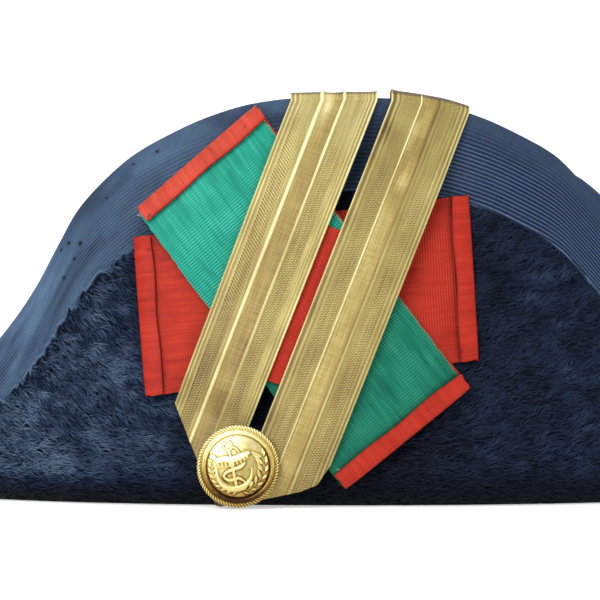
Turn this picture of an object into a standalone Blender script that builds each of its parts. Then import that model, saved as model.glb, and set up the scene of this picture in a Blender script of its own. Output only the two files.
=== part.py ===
"""A cocked hat of felt and plush: crown, turned-up brim, bindings, cockade, lace loop and button.

Metres, +Z up. +X runs along the hat, -Y faces the viewer, and z = 0 is the flat underside.
"""

import math
from typing import NamedTuple

import bmesh
import bpy
import numpy as np
from mathutils import Vector

MM = 0.001

# The hat as a whole.
LENGTH = 460 * MM
WIDTH = 184 * MM  # across the folds of the brim at the middle
HEIGHT = 128.5 * MM  # to the edge of the front flap
BACK_RISE = 2 * MM  # how much taller the back flap stands
LEAN = math.radians(18)  # how far both flaps lean in
BELLY = 3 * MM  # how far a flap bows out halfway up
TIP_LIFT = 6 * MM  # how far the underside rises towards the tips
TIP_ROUND = 20 * MM  # the length over which the flap's edge rounds down at a tip
ROLL = 9 * MM  # the outer radius of the brim's fold
FELT = 2.5 * MM
GAP = 0.3 * MM  # between pieces that touch

# The crown, measured inside.
HEAD_LENGTH = 196 * MM
HEAD_WIDTH = 154 * MM
HEAD_DEPTH = 108 * MM
HEAD_BAND = 4 * MM  # how far the wall of the crown stands straight up before it rounds in
HEAD_PARTS = 12  # sections in each quarter of the head opening

# The binding, folded over a flap's edge.
BINDING = 1 * MM
BINDING_INSIDE = 18 * MM
BINDING_WIDTH = 30 * MM  # at its widest

# The cockade and its ribbons.
COCKADE_X = -13 * MM
COCKADE_DOWN = 63.5 * MM  # its middle below the front flap's edge
COCKADE_Z = HEIGHT - COCKADE_DOWN
RIBBON_WIDTH = 50 * MM
RED_LENGTH = 105.9 * MM
GREEN_LENGTH = 110.8 * MM
PATCH_LENGTH = 52 * MM
RIBBON = 1 * MM
RIBBON_GAP = 0.28 * MM
HEM = 5.5 * MM
BACKING_SHIFT = 1.2 * MM  # how far the backing shows past the green ribbon's edge

# The lace loop.
LACE = 1 * MM
LACE_WIDTH = 24.5 * MM
LACE_CORD = 0.4 * MM  # how far a raised cord stands out
LACE_CORDS = (0.365, 0.635)  # where the two cords run, as shares of the width
CORD_WIDTH = 0.05  # a share of the width
LACE_OVER = 14 * MM  # how far each end runs down behind the flap's edge

# The button.
BUTTON_WIDTH = 25 * MM
BUTTON_EDGE = 2 * MM
BUTTON_DOME = 1.2 * MM
BUTTON_TILT = math.radians(10)
BUTTON_X = -33.2 * MM
BUTTON_Z = 12.8 * MM
ROPE_TURNS = 48
ROPE_WIDTH = 1.4 * MM
RELIEF = 0.5 * MM


class Station(NamedTuple):
    """Half the width across the folds along the hat, as shares of half the length and width."""

    along: float
    fold: float


STATIONS = (
    Station(along=0.00, fold=1.000),
    Station(along=0.12, fold=0.986),
    Station(along=0.24, fold=0.938),
    Station(along=0.36, fold=0.848),
    Station(along=0.47, fold=0.708),
    Station(along=0.57, fold=0.540),
    Station(along=0.68, fold=0.350),
    Station(along=0.80, fold=0.212),
    Station(along=0.90, fold=0.138),
    Station(along=1.00, fold=0.090),
)


class Crest(NamedTuple):
    """The heights of the two flaps' edges along the hat, as shares of half the length and of each
    flap's height. The back one stands fuller at the right, where it shows past the front one."""

    along: float
    front: float
    back: float


CRESTS = (
    Crest(along=-1.000, front=0.203, back=0.203),
    Crest(along=-0.880, front=0.206, back=0.206),
    Crest(along=-0.740, front=0.214, back=0.215),
    Crest(along=-0.630, front=0.236, back=0.240),
    Crest(along=-0.560, front=0.278, back=0.290),
    Crest(along=-0.510, front=0.342, back=0.365),
    Crest(along=-0.463, front=0.437, back=0.470),
    Crest(along=-0.430, front=0.524, back=0.565),
    Crest(along=-0.400, front=0.626, back=0.662),
    Crest(along=-0.372, front=0.718, back=0.745),
    Crest(along=-0.336, front=0.792, back=0.808),
    Crest(along=-0.295, front=0.856, back=0.860),
    Crest(along=-0.250, front=0.903, back=0.903),
    Crest(along=-0.190, front=0.952, back=0.952),
    Crest(along=-0.125, front=0.986, back=0.986),
    Crest(along=-0.070, front=0.998, back=0.998),
    Crest(along=0.000, front=1.000, back=1.000),
    Crest(along=0.070, front=0.998, back=0.998),
    Crest(along=0.125, front=0.986, back=0.986),
    Crest(along=0.190, front=0.952, back=0.952),
    Crest(along=0.250, front=0.903, back=0.908),
    Crest(along=0.295, front=0.856, back=0.880),
    Crest(along=0.330, front=0.793, back=0.856),
    Crest(along=0.364, front=0.719, back=0.829),
    Crest(along=0.392, front=0.630, back=0.793),
    Crest(along=0.422, front=0.528, back=0.738),
    Crest(along=0.455, front=0.441, back=0.645),
    Crest(along=0.502, front=0.346, back=0.490),
    Crest(along=0.553, front=0.281, back=0.368),
    Crest(along=0.630, front=0.236, back=0.275),
    Crest(along=0.740, front=0.214, back=0.224),
    Crest(along=0.880, front=0.206, back=0.208),
    Crest(along=1.000, front=0.203, back=0.203),
)


class Reach(NamedTuple):
    """How wide the binding shows along the hat: shares of half the length and of its width."""

    along: float
    width: float


REACH = (
    Reach(along=-1.00, width=0.30),
    Reach(along=-0.60, width=0.42),
    Reach(along=-0.52, width=0.60),
    Reach(along=-0.45, width=0.79),
    Reach(along=-0.40, width=0.94),
    Reach(along=-0.34, width=1.02),
    Reach(along=-0.10, width=1.00),
    Reach(along=0.10, width=1.00),
    Reach(along=0.25, width=0.97),
    Reach(along=0.32, width=1.01),
    Reach(along=0.37, width=1.04),
    Reach(along=0.43, width=0.85),
    Reach(along=0.52, width=0.60),
    Reach(along=0.60, width=0.42),
    Reach(along=1.00, width=0.30),
)


class Level(NamedTuple):
    """How far the back of each layer of the trimming stands off the flap."""

    red: float
    backing: float
    green: float
    patch: float
    lace: float


RISE = RIBBON + RIBBON_GAP
BASE = GAP + BINDING + RIBBON_GAP
LEVELS = Level(
    red=BASE,
    backing=BASE + RISE,
    green=BASE + 2 * RISE,
    patch=BASE + 3 * RISE,
    lace=BASE + 4 * RISE,
)


class Strip(NamedTuple):
    """A ribbon on the flap: its middle seen from the front and its widths at both ends, as shares
    of the ribbon's width, its slope and the turn of each end away from square in degrees."""

    length: float
    right: float
    up: float
    slope: float
    start: float
    end: float
    start_turn: float
    end_turn: float


RED = Strip(
    RED_LENGTH, right=0.016, up=0.006, slope=6.7,
    start=1.00, end=1.04, start_turn=-1.3, end_turn=-4.3,
)
GREEN = Strip(
    GREEN_LENGTH, right=-0.020, up=0.016, slope=-53.1,
    start=1.00, end=0.99, start_turn=4.4, end_turn=1.5,
)
PATCH = Strip(
    PATCH_LENGTH, right=-0.012, up=-0.040, slope=68.5,
    start=0.88, end=0.88, start_turn=0, end_turn=0,
)


class Leg(NamedTuple):
    """One side of the lace loop seen from the front: the middle of its foot from the button's
    middle in button widths, its middle at the hat's edge from the cockade's middle in lace
    widths, and its widths at both as shares of the lace's width."""

    foot_right: float
    foot_up: float
    top_right: float
    top_width: float
    foot_width: float


LEFT_LEG = Leg(foot_right=-0.348, foot_up=0.592, top_right=0.40, top_width=1.061, foot_width=0.980)
RIGHT_LEG = Leg(foot_right=0.704, foot_up=0.208, top_right=1.673, top_width=1.012, foot_width=0.963)


class Turn(NamedTuple):
    """The lace's outer edge as it goes round the button: shares of the button's width from its
    middle, and of the highest level for how far the lace stands off."""

    right: float
    up: float
    level: float


TURNS = (
    Turn(right=-0.52, up=0.09, level=0.56),
    Turn(right=-0.30, up=-0.24, level=0.60),
    Turn(right=0.02, up=-0.38, level=0.66),
    Turn(right=0.37, up=-0.39, level=0.72),
    Turn(right=0.77, up=-0.30, level=0.82),
    Turn(right=0.97, up=-0.22, level=0.82),
)


class Drape(NamedTuple):
    """How far a leg of the lace stands off along its run from foot to edge, as shares of the
    highest level."""

    along: float
    left: float
    right: float


DRAPES = (
    Drape(along=0.00, left=0.56, right=0.88),
    Drape(along=0.10, left=1.00, right=1.00),
    Drape(along=0.78, left=1.00, right=1.00),
    Drape(along=0.89, left=0.86, right=0.60),
    Drape(along=1.00, left=0.24, right=0.24),
)


class Step(NamedTuple):
    """A place on the button's field, in half-button widths right of and above its middle."""

    x: float
    y: float


RING_AT = Step(x=-0.26, y=0.46)
RING = 0.10
SHANK = (Step(x=-0.23, y=0.37), Step(x=-0.01, y=-0.55))
STOCK = (Step(x=-0.66, y=0.18), Step(x=-0.38, y=0.15), Step(x=0.0, y=0.17), Step(x=0.24, y=0.25))
ARM_AT = Step(x=-0.08, y=-0.20)
ARM = 0.42
ARM_SWEEP = (175, 385)  # degrees, from the left tip round below to the right tip
ROPE = (
    Step(x=-0.16, y=0.47),
    Step(x=0.02, y=0.36),
    Step(x=0.16, y=0.22),
    Step(x=0.15, y=0.06),
    Step(x=-0.02, y=-0.06),
    Step(x=-0.24, y=-0.14),
    Step(x=-0.30, y=-0.26),
    Step(x=-0.18, y=-0.34),
    Step(x=0.02, y=-0.30),
    Step(x=0.17, y=-0.38),
)


class Branch(NamedTuple):
    """A laurel branch: pairs of leaves along an arc, in degrees and half-button widths."""

    first: float
    last: float
    pairs: int
    radius: float
    size: float


BRANCHES = (
    Branch(first=-82, last=24, pairs=9, radius=0.64, size=0.105),
    Branch(first=-98, last=-184, pairs=7, radius=0.66, size=0.085),
)


def clear_scene():
    for old in list(bpy.data.objects):
        bpy.data.objects.remove(old)


def eased(rows, column, at):
    """A smooth curve through one column of a table, flat-ended and without overshoot."""
    x = np.array([row.along for row in rows])
    y = np.array([getattr(row, column) for row in rows])
    step = np.diff(x)
    slope = np.diff(y) / step
    same = slope[:-1] * slope[1:] > 0
    inner = np.where(same, 2 * slope[:-1] * slope[1:] / np.where(same, slope[:-1] + slope[1:], 1), 0)
    tangent = np.concatenate([[0], inner, [slope[-1]]])
    at = np.clip(at, x[0], x[-1])
    i = np.clip(np.searchsorted(x, at, side="right") - 1, 0, len(step) - 1)
    t = (at - x[i]) / step[i]
    rise = (2 * t**3 - 3 * t**2 + 1) * y[i] + (3 * t**2 - 2 * t**3) * y[i + 1]
    bend = (t**3 - 2 * t**2 + t) * tangent[i] + (t**3 - t**2) * tangent[i + 1]
    return rise + bend * step[i]


def share(x):
    return np.abs(x) / (LENGTH / 2)


def head_end():
    """How far the head opening in the brim reaches along the hat."""
    return HEAD_LENGTH / 2 + 2 * (FELT + GAP)


def underside(x):
    """The height of the brim's underside: flat beside the head, rising a little to the tips."""
    past = np.maximum(np.abs(x) - head_end(), 0) / (LENGTH / 2 - head_end())
    return TIP_LIFT * past**2


def fold(x):
    """How far the outermost line of the fold stands from the middle of the hat."""
    return WIDTH / 2 * eased(STATIONS, "fold", share(x))


def roll(x):
    return np.minimum(ROLL, 0.8 * fold(x))


def edge(x, side=-1):
    """The height of a flap's upper edge, rounded down at the tips."""
    left = np.clip((LENGTH / 2 - np.abs(x)) / TIP_ROUND, 0, 1)
    low = underside(x) + 1.7 * roll(x)
    along = x / (LENGTH / 2)
    if side < 0:
        high = HEIGHT * eased(CRESTS, "front", along)
    else:
        high = (HEIGHT + BACK_RISE) * eased(CRESTS, "back", along)
    return low + (high - low) * np.sqrt(1 - (1 - left) ** 2)


def face(x, z):
    """How far the outside of a flap stands from the middle, at a height on or above its fold."""
    radius = roll(x)
    top = underside(x) + radius * (1 + math.sin(LEAN))
    turned = np.clip((z - underside(x) - radius) / radius, 0, math.sin(LEAN))
    out = fold(x) - radius + radius * np.sqrt(1 - turned**2)
    up = np.maximum(z - top, 0)
    bow = BELLY * np.sin(np.pi * np.clip(up / (HEIGHT - ROLL), 0, 1))
    return out - math.tan(LEAN) * up + bow


def columns():
    """Stations along the hat: even turns round the head opening, then closer to the tips."""
    head = (HEAD_LENGTH / 2 + FELT + GAP) * np.sin(np.linspace(0, math.pi / 2, HEAD_PARTS + 1))
    step = np.linspace(0, 1, 10)[1:]
    along = 0.3 * step + 0.7 * np.sin(step * math.pi / 2)
    half = np.concatenate([head, head[-1] + along * (LENGTH / 2 - head[-1])])
    return np.concatenate([-half[:0:-1], half])


def directions(x, z, side):
    """The outward normal of a flap and the way straight up its face."""
    step = 0.2 * MM
    along = (face(x + step, z) - face(x - step, z)) / (2 * step)
    upward = (face(x, z + step) - face(x, z - step)) / (2 * step)
    out = np.stack([-along, side * np.ones_like(x), -upward], axis=-1)
    up = np.stack([0 * x, side * upward, np.ones_like(x)], axis=-1)
    return (v / np.linalg.norm(v, axis=-1, keepdims=True) for v in (out, up))


def stood(x, z, side, off, over=0.0):
    """Points at a distance off a flap's outside, and over its edge by a further distance."""
    out, up = directions(x, z, side)
    place = np.stack([x, side * face(x, z), z], axis=-1)
    return place + np.asarray(off)[..., None] * out + np.asarray(over)[..., None] * up


def head_half(x, length, width):
    inside = np.clip(1 - (x / (length / 2)) ** 2, 0, 1)
    return width / 2 * np.sqrt(inside)


def new_material(name, colour, rough, metal=0.0):
    material = bpy.data.materials.new(name)
    material.use_nodes = True
    shader = material.node_tree.nodes["Principled BSDF"]
    shader.inputs["Base Color"].default_value = (*colour, 1)
    shader.inputs["Roughness"].default_value = rough
    shader.inputs["Metallic"].default_value = metal
    material.diffuse_color = (*colour, 1)
    return material


def put(name, mesh, material, hat, smooth=True):
    obj = bpy.data.objects.new(name, mesh)
    hat.users_collection[0].objects.link(obj)
    obj.parent = hat
    mesh.materials.append(material)
    if smooth:
        mesh.shade_smooth()
        mesh.set_sharp_from_angle(angle=math.radians(40))
    return obj


def grid_mesh(name, points, around=False):
    """An open surface through rows of points; around joins the last column to the first."""
    rows, count = points.shape[:2]
    build = bmesh.new()
    made = [[build.verts.new(Vector(p)) for p in row] for row in points]
    for i in range(rows - 1):
        for j in range(count if around else count - 1):
            k = (j + 1) % count
            build.faces.new((made[i][j], made[i][k], made[i + 1][k], made[i + 1][j]))
    mesh = bpy.data.meshes.new(name)
    build.to_mesh(mesh)
    build.free()
    return mesh


def shell_mesh(name, outside, inside):
    """A closed sheet between two matching grids of points, its rim closed by a band of faces."""
    rows, count = outside.shape[:2]
    build = bmesh.new()
    top = [[build.verts.new(Vector(p)) for p in row] for row in outside]
    low = [[build.verts.new(Vector(p)) for p in row] for row in inside]
    for i in range(rows - 1):
        for j in range(count - 1):
            build.faces.new((top[i][j], top[i][j + 1], top[i + 1][j + 1], top[i + 1][j]))
            build.faces.new((low[i][j], low[i + 1][j], low[i + 1][j + 1], low[i][j + 1]))
    for j in range(count - 1):
        build.faces.new((top[0][j + 1], top[0][j], low[0][j], low[0][j + 1]))
        build.faces.new((top[-1][j], top[-1][j + 1], low[-1][j + 1], low[-1][j]))
    for i in range(rows - 1):
        build.faces.new((top[i][0], top[i + 1][0], low[i + 1][0], low[i][0]))
        build.faces.new((top[i + 1][-1], top[i][-1], low[i][-1], low[i + 1][-1]))
    bmesh.ops.recalc_face_normals(build, faces=build.faces)
    mesh = bpy.data.meshes.new(name)
    build.to_mesh(mesh)
    build.free()
    return mesh


def thicken(obj, thickness, outward=False):
    solid = obj.modifiers.new("thickness", "SOLIDIFY")
    solid.thickness = thickness
    solid.offset = 1 if outward else -1
    solid.use_even_offset = True


def make_crown(hat, felt):
    """The dome: the upper half of a sphere stretched to the head over a short straight wall, an
    open surface made felt."""
    build = bmesh.new()
    bmesh.ops.create_uvsphere(build, u_segments=4 * HEAD_PARTS, v_segments=10, radius=1)
    lower = [v for v in build.verts if v.co.z < -0.01]
    bmesh.ops.delete(build, geom=lower, context="VERTS")
    size = (HEAD_LENGTH / 2 + FELT, HEAD_WIDTH / 2 + FELT, HEAD_DEPTH - HEAD_BAND + FELT)
    bmesh.ops.scale(build, vec=size, verts=build.verts)
    rim = [e for e in build.edges if e.is_boundary]
    band = bmesh.ops.extrude_edge_only(build, edges=rim)["geom"]
    foot = [v for v in band if isinstance(v, bmesh.types.BMVert)]
    bmesh.ops.translate(build, vec=(0, 0, -HEAD_BAND), verts=foot)
    bmesh.ops.recalc_face_normals(build, faces=build.faces)
    mesh = bpy.data.meshes.new("crown")
    build.to_mesh(mesh)
    build.free()
    crown = put("crown", mesh, felt, hat)
    crown.location.z = GAP + HEAD_BAND
    thicken(crown, FELT)


def brim_points(side):
    """Rows of points from the head opening out over the underside, round the fold and up the flap."""
    x = columns()
    floor, radius, out = underside(x), roll(x), fold(x)
    round_head = 2 * (FELT + GAP)
    inner = head_half(x, HEAD_LENGTH + round_head, HEAD_WIDTH + round_head)
    inner = np.maximum(inner, GAP / 2)
    rows = [(inner, floor), (np.maximum(out - radius, inner + 0.3 * MM), floor)]
    for turn in np.linspace(0, math.pi / 2 + LEAN, 5)[1:]:
        rows.append(
            (out - radius + radius * math.sin(turn), floor + radius * (1 - math.cos(turn)))
        )
    top = floor + radius * (1 + math.sin(LEAN))
    for up in np.linspace(0, 1, 5)[1:]:
        height = top + up * (edge(x, side) - top)
        rows.append((face(x, height), height))
    return np.stack([np.stack([x, side * y, z], axis=1) for y, z in rows])


def make_brim(name, side, hat, felt):
    """Half the brim: the surface of its outside, made felt inwards."""
    mesh = grid_mesh(name, brim_points(side))
    if side > 0:
        mesh.flip_normals()
    thicken(put(name, mesh, felt, hat), FELT)


def make_binding(name, side, hat, grosgrain):
    """The ribbed band folded over a flap's edge: down the outside, over, and down the inside."""
    x = columns()[1:-1]
    high = edge(x, side)
    low = underside(x) + roll(x) * (1 + math.sin(LEAN))
    wide = BINDING_WIDTH * eased(REACH, "width", -side * x / (LENGTH / 2))
    bottom = np.maximum(high - wide, low)
    back = np.maximum(high - BINDING_INSIDE, low)

    off, corner = GAP + 0 * x, 0.2 * GAP + 0 * x
    section = [
        stood(x, bottom, side, off),
        stood(x, (bottom + high) / 2, side, off),
        stood(x, high, side, off, corner),
        stood(x, high, side, 0 * x, off),
        stood(x, high, side, -FELT + 0 * x, off),
        stood(x, high, side, -FELT - off, corner),
        stood(x, back, side, -FELT - off),
    ]
    mesh = grid_mesh(name, np.stack(section))
    if side > 0:
        mesh.flip_normals()
    thicken(put(name, mesh, grosgrain, hat), BINDING, outward=True)


def on_flap(x, z, level):
    """Points laid on the front flap at a distance off it; below the fold they hang straight."""
    height = np.maximum(z, underside(x) + roll(x))
    return np.stack([x, -face(x, height) - level / math.cos(LEAN), z], axis=-1)


def laid(strip, along, across):
    """Where a point of a strip is seen from the front; along and across are shares from its middle."""
    slope = math.radians(strip.slope)
    run = np.array([math.cos(slope), math.sin(slope)])
    cockade = np.array([COCKADE_X, COCKADE_Z])
    ends = []
    for sign, width, turn in (
        (-1, strip.start, strip.start_turn),
        (1, strip.end, strip.end_turn),
    ):
        upright = slope + math.pi / 2 + math.radians(turn)
        middle = cockade + RIBBON_WIDTH * np.array([strip.right, strip.up])
        middle = middle + sign * strip.length / 2 * run
        reach = RIBBON_WIDTH * width * np.array([math.cos(upright), math.sin(upright)])
        ends.append(middle + np.multiply.outer(across, reach))
    near = (0.5 - along)[..., None]
    place = near * ends[0] + (1 - near) * ends[1]
    return place[..., 0], place[..., 1]


def ribbon_grid(strip, along, levels, parts=4):
    """Points of a strip, the rows at distances along it from its middle."""
    along, across = np.meshgrid(
        np.asarray(along) / strip.length, np.linspace(-0.5, 0.5, parts), indexing="ij"
    )
    x, z = laid(strip, along, across)
    return on_flap(x, z, np.broadcast_to(np.asarray(levels)[:, None], x.shape))


def make_hemmed(name, strip, level, hat, silk):
    """A ribbon whose ends are turned over on its face as hems."""
    half = strip.length / 2
    step = 0.4 * MM
    middle = np.linspace(-half + HEM + step, half - HEM - step, 11)
    along = np.concatenate([[-half, -half + HEM], middle, [half - HEM, half]])
    high = np.full(len(along), RIBBON)
    high[[0, 1, -2, -1]] = 2 * RIBBON
    back = ribbon_grid(strip, along, np.full(len(along), level))
    front = ribbon_grid(strip, along, level + high)
    put(name, shell_mesh(name, front, back), silk, hat)


def make_ribbon(name, strip, level, count, hat, silk):
    """A plain ribbon: the surface of its back, made silk outwards."""
    along = np.linspace(-strip.length / 2, strip.length / 2, count)
    mesh = grid_mesh(name, ribbon_grid(strip, along, np.full(count, level)))
    mesh.flip_normals()
    thicken(put(name, mesh, silk, hat), RIBBON, outward=True)


def under_hems(strip):
    """The ribbon that lies inside a backing's hems, set so that the backing shows on one side."""
    upright = math.radians(strip.slope + 90)
    shift = BACKING_SHIFT / 2 / RIBBON_WIDTH
    return strip._replace(
        right=strip.right - shift * math.cos(upright),
        up=strip.up - shift * math.sin(upright),
        length=strip.length - 2 * (RIBBON + RIBBON_GAP + RIBBON * math.sin(LEAN)),
    )


def make_backing(name, strip, hat, silk):
    """The backing ribbon, its ends carried round the green ribbon's ends and back over its face."""
    half = strip.length / 2
    low, high = LEVELS.backing, LEVELS.patch
    turned = half - HEM
    run = np.linspace(-half + RIBBON, half - RIBBON, 12)
    outside = ribbon_grid(
        strip,
        [-turned, -half, -half, *run, half, half, turned],
        [high + RIBBON] * 2 + [low] * 14 + [high + RIBBON] * 2,
    )
    inside = ribbon_grid(
        strip,
        [-turned, -half + RIBBON, -half + RIBBON, *run, half - RIBBON, half - RIBBON, turned],
        [high] * 2 + [low + RIBBON] * 14 + [high] * 2,
    )
    keep = [i for i in range(len(outside)) if i not in (3, len(outside) - 4)]
    put(name, shell_mesh(name, outside[keep], inside[keep]), silk, hat)


def across_lace():
    """Shares across the lace and how far its face stands out there: two raised cords."""
    shares, rise = [0.0], [0.0]
    for cord in LACE_CORDS:
        shares += [cord - CORD_WIDTH / 2, cord, cord + CORD_WIDTH / 2]
        rise += [0.0, LACE_CORD, 0.0]
    return np.array([*shares, 1.0]), np.array([*rise, 0.0])


def leg_rows(leg, drape, shares):
    """A leg of the lace from its foot to the hat's edge, then over the edge and down behind it."""
    top_x = COCKADE_X + leg.top_right * LACE_WIDTH
    head = np.array([top_x, edge(top_x)])
    foot = np.array([BUTTON_X + leg.foot_right * BUTTON_WIDTH, BUTTON_Z + leg.foot_up * BUTTON_WIDTH])
    run = head - foot
    side = np.array([run[1], -run[0]]) / np.hypot(*run)
    offset = (shares - 0.5) * LACE_WIDTH
    low = foot + np.multiply.outer(offset * leg.foot_width, side)
    high = head + np.multiply.outer(offset * leg.top_width, side)
    slant = (high[:, 0] - low[:, 0]) / (high[:, 1] - low[:, 1])
    top = edge(high[:, 0])
    high = np.stack([high[:, 0] + (top - high[:, 1]) * slant, top], axis=1)
    stops = [0, 0.05, 0.10, *np.linspace(0.22, 0.90, 6), 0.95, 1]
    rows = []
    for at in stops:
        place = low + at * (high - low)
        level = LEVELS.lace * eased(DRAPES, drape, np.array([at]))[0]
        rows.append((place[:, 0], place[:, 1], np.full(len(shares), level)))
    return rows


def make_lace(name, hat, gold):
    """One strip: up behind the left leg, over the edge, down, round the button and up again."""
    shares, rise = across_lace()
    left = leg_rows(LEFT_LEG, "left", shares)[::-1]
    right = leg_rows(RIGHT_LEG, "right", 1 - shares)
    inner_start = np.array([left[-1][0][-1], left[-1][1][-1]])
    inner_end = np.array([right[0][0][-1], right[0][1][-1]])
    fan = []
    for k, turn in enumerate(TURNS):
        outer = np.array(
            [BUTTON_X + turn.right * BUTTON_WIDTH, BUTTON_Z + turn.up * BUTTON_WIDTH]
        )
        at = (k + 1) / (len(TURNS) + 1)
        inner = inner_start + at * (inner_end - inner_start)
        inner[1] -= 1.2 * MM * math.sin(math.pi * at)
        place = outer + np.multiply.outer(shares, inner - outer)
        fan.append((place[:, 0], place[:, 1], np.full(len(shares), LEVELS.lace * turn.level)))
    run = [*left, *fan, *right]
    back = [on_flap(x, z, up) for x, z, up in run]
    front = [on_flap(x, z, up + LACE + rise) for x, z, up in run]

    def over(x, out, rise):
        """The rows over the flap's edge and down behind it, at one distance off the binding."""
        high = edge(x)
        off = BASE + out + rise
        return [
            stood(x, high, -1, off, 0.7 * off),
            stood(x, high, -1, 0.4 * off, off),
            stood(x, high, -1, -FELT - 0.4 * off, off),
            stood(x, high, -1, -FELT - off, 0.7 * off),
            stood(x, high - LACE_OVER, -1, -FELT - off),
        ]

    for rows, out, lift in ((back, 0.0, 0 * rise), (front, LACE, rise)):
        rows[:0] = over(run[0][0], out, lift)[::-1]
        rows += over(run[-1][0], out, lift)
    put(name, shell_mesh(name, np.array(front), np.array(back)), gold, hat)


def button_back():
    """How far the middle of the button's back stands from the middle of the hat, on the lace."""
    under = LEVELS.lace * max(turn.level for turn in TURNS) + LACE + LACE_CORD
    return float(fold(BUTTON_X)) + under / math.cos(LEAN) + GAP


def front_shift():
    """The trimming stands out in front, so the hat sits this far back of the box's middle."""
    rope_high = BUTTON_EDGE + ROPE_WIDTH / 2
    out = button_back() + BUTTON_WIDTH / 2 * math.sin(BUTTON_TILT)
    return (out + rope_high * math.cos(BUTTON_TILT) - WIDTH / 2) / 2


def dome(radius):
    """The height of the button's field above its back, at a distance from the middle."""
    seat = BUTTON_WIDTH / 2 - 1.9 * ROPE_WIDTH
    return BUTTON_EDGE + BUTTON_DOME * (1 - np.clip(radius / seat, 0, 1) ** 2)


def ring_of(radius, height, count):
    """Points round the button's axis at one radius and height."""
    turn = 2 * np.pi * np.arange(count) / count
    return np.stack([radius * np.cos(turn), radius * np.sin(turn), height + 0 * turn], axis=1)


def rope_rings():
    """The rope edge from outside to inside: its cross-section rises and falls slantwise."""
    count = 2 * ROPE_TURNS
    step = np.arange(count)
    middle = BUTTON_WIDTH / 2 - ROPE_WIDTH / 2
    rings = []
    for j, turn in enumerate(np.radians((-15, 35, 90, 145, 195))):
        swell = ROPE_WIDTH / 2 * np.where((step + (j > 2)) % 2, 1.0, 0.80)
        angle = 2 * np.pi * (step + 0.5 * j) / count
        out = middle + swell * math.cos(turn)
        high = BUTTON_EDGE + swell * math.sin(turn)
        rings.append(np.stack([out * np.cos(angle), out * np.sin(angle), high], axis=1))
    return rings


def ringed(name, rings):
    """A closed solid through rings of points; a ring may have twice or half its neighbour's count."""
    build = bmesh.new()
    made = [[build.verts.new(Vector(p)) for p in ring] for ring in rings]
    for low, high in zip(made, made[1:]):
        few, many = (low, high) if len(low) <= len(high) else (high, low)
        n = len(few)
        for k in range(n):
            a, b = few[k], few[(k + 1) % n]
            if n == 1:
                for m in range(len(many)):
                    build.faces.new((a, many[m], many[(m + 1) % len(many)]))
            elif len(many) == n:
                build.faces.new((a, b, many[(k + 1) % n], many[k]))
            else:
                build.faces.new((a, many[2 * k], many[2 * k + 1]))
                build.faces.new((a, many[2 * k + 1], b))
                build.faces.new((b, many[2 * k + 1], many[(2 * k + 2) % len(many)]))
    bmesh.ops.recalc_face_normals(build, faces=build.faces)
    mesh = bpy.data.meshes.new(name)
    build.to_mesh(mesh)
    build.free()
    return mesh


def make_button_body():
    """The turned body, from the middle of its back round the rope edge to the domed field."""
    radius, rope, steps = BUTTON_WIDTH / 2, ROPE_WIDTH, ROPE_TURNS
    rim_high = BUTTON_EDGE + 0.25 * MM
    rings = [
        ring_of(0, 0, 1),
        ring_of(radius - 0.8 * MM, 0, steps),
        ring_of(radius - 0.1 * MM, 0.6 * MM, steps),
        *rope_rings(),
        ring_of(radius - 1.20 * rope, rim_high, steps),
        ring_of(radius - 1.70 * rope, rim_high, steps),
        ring_of(radius - 1.90 * rope, dome(radius - 1.9 * rope), steps),
        ring_of(radius * 0.55, dome(radius * 0.55), steps),
        ring_of(0, dome(0), 1),
    ]
    return ringed("button", rings)


def raised(name, places, widths, closed=False, sides=6):
    """A rounded bar along a line on the button's field; places and widths in half-button widths."""
    half = BUTTON_WIDTH / 2
    places = [half * np.array(p) for p in places]
    count = len(places)
    build = bmesh.new()
    rings = []
    for i, place in enumerate(places):
        after = places[(i + 1) % count] if closed or i + 1 < count else place
        before = places[i - 1] if closed or i else place
        run = (after - before) / np.hypot(*(after - before))
        side = np.array([-run[1], run[0]])
        reach = half * widths[i]
        middle = dome(np.hypot(*place)) - 0.1 * MM
        ring = []
        for k in range(sides):
            turn = 2 * math.pi * (k + 0.5) / sides
            x, y = place + side * reach * math.cos(turn)
            ring.append(build.verts.new((x, y, middle + RELIEF * 1.3 * math.sin(turn))))
        rings.append(ring)
    for i in range(count if closed else count - 1):
        a, b = rings[i], rings[(i + 1) % count]
        for k in range(sides):
            n = (k + 1) % sides
            build.faces.new((a[k], a[n], b[n], b[k]))
    if not closed:
        build.faces.new(rings[0])
        build.faces.new(rings[-1])
    bmesh.ops.recalc_face_normals(build, faces=build.faces)
    mesh = bpy.data.meshes.new(name)
    build.to_mesh(mesh)
    build.free()
    return mesh


def leaf(name, place, angle, size):
    """A pointed leaf with a raised vein, half sunk in the button's field."""
    half = BUTTON_WIDTH / 2
    run = np.array([math.cos(angle), math.sin(angle)])
    side = np.array([-run[1], run[0]])
    middle = half * np.array(place)
    high = dome(np.hypot(*middle))
    corners = [
        middle + half * size * run,
        middle + half * size * 0.45 * side,
        middle - half * size * run,
        middle - half * size * 0.45 * side,
    ]
    build = bmesh.new()
    rim = [build.verts.new((*c, high - 0.05 * MM)) for c in corners]
    top = build.verts.new((*middle, high + RELIEF))
    low = build.verts.new((*middle, high - RELIEF))
    for k in range(4):
        build.faces.new((rim[k], rim[(k + 1) % 4], top))
        build.faces.new((rim[(k + 1) % 4], rim[k], low))
    bmesh.ops.recalc_face_normals(build, faces=build.faces)
    mesh = bpy.data.meshes.new(name)
    build.to_mesh(mesh)
    build.free()
    return mesh


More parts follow.
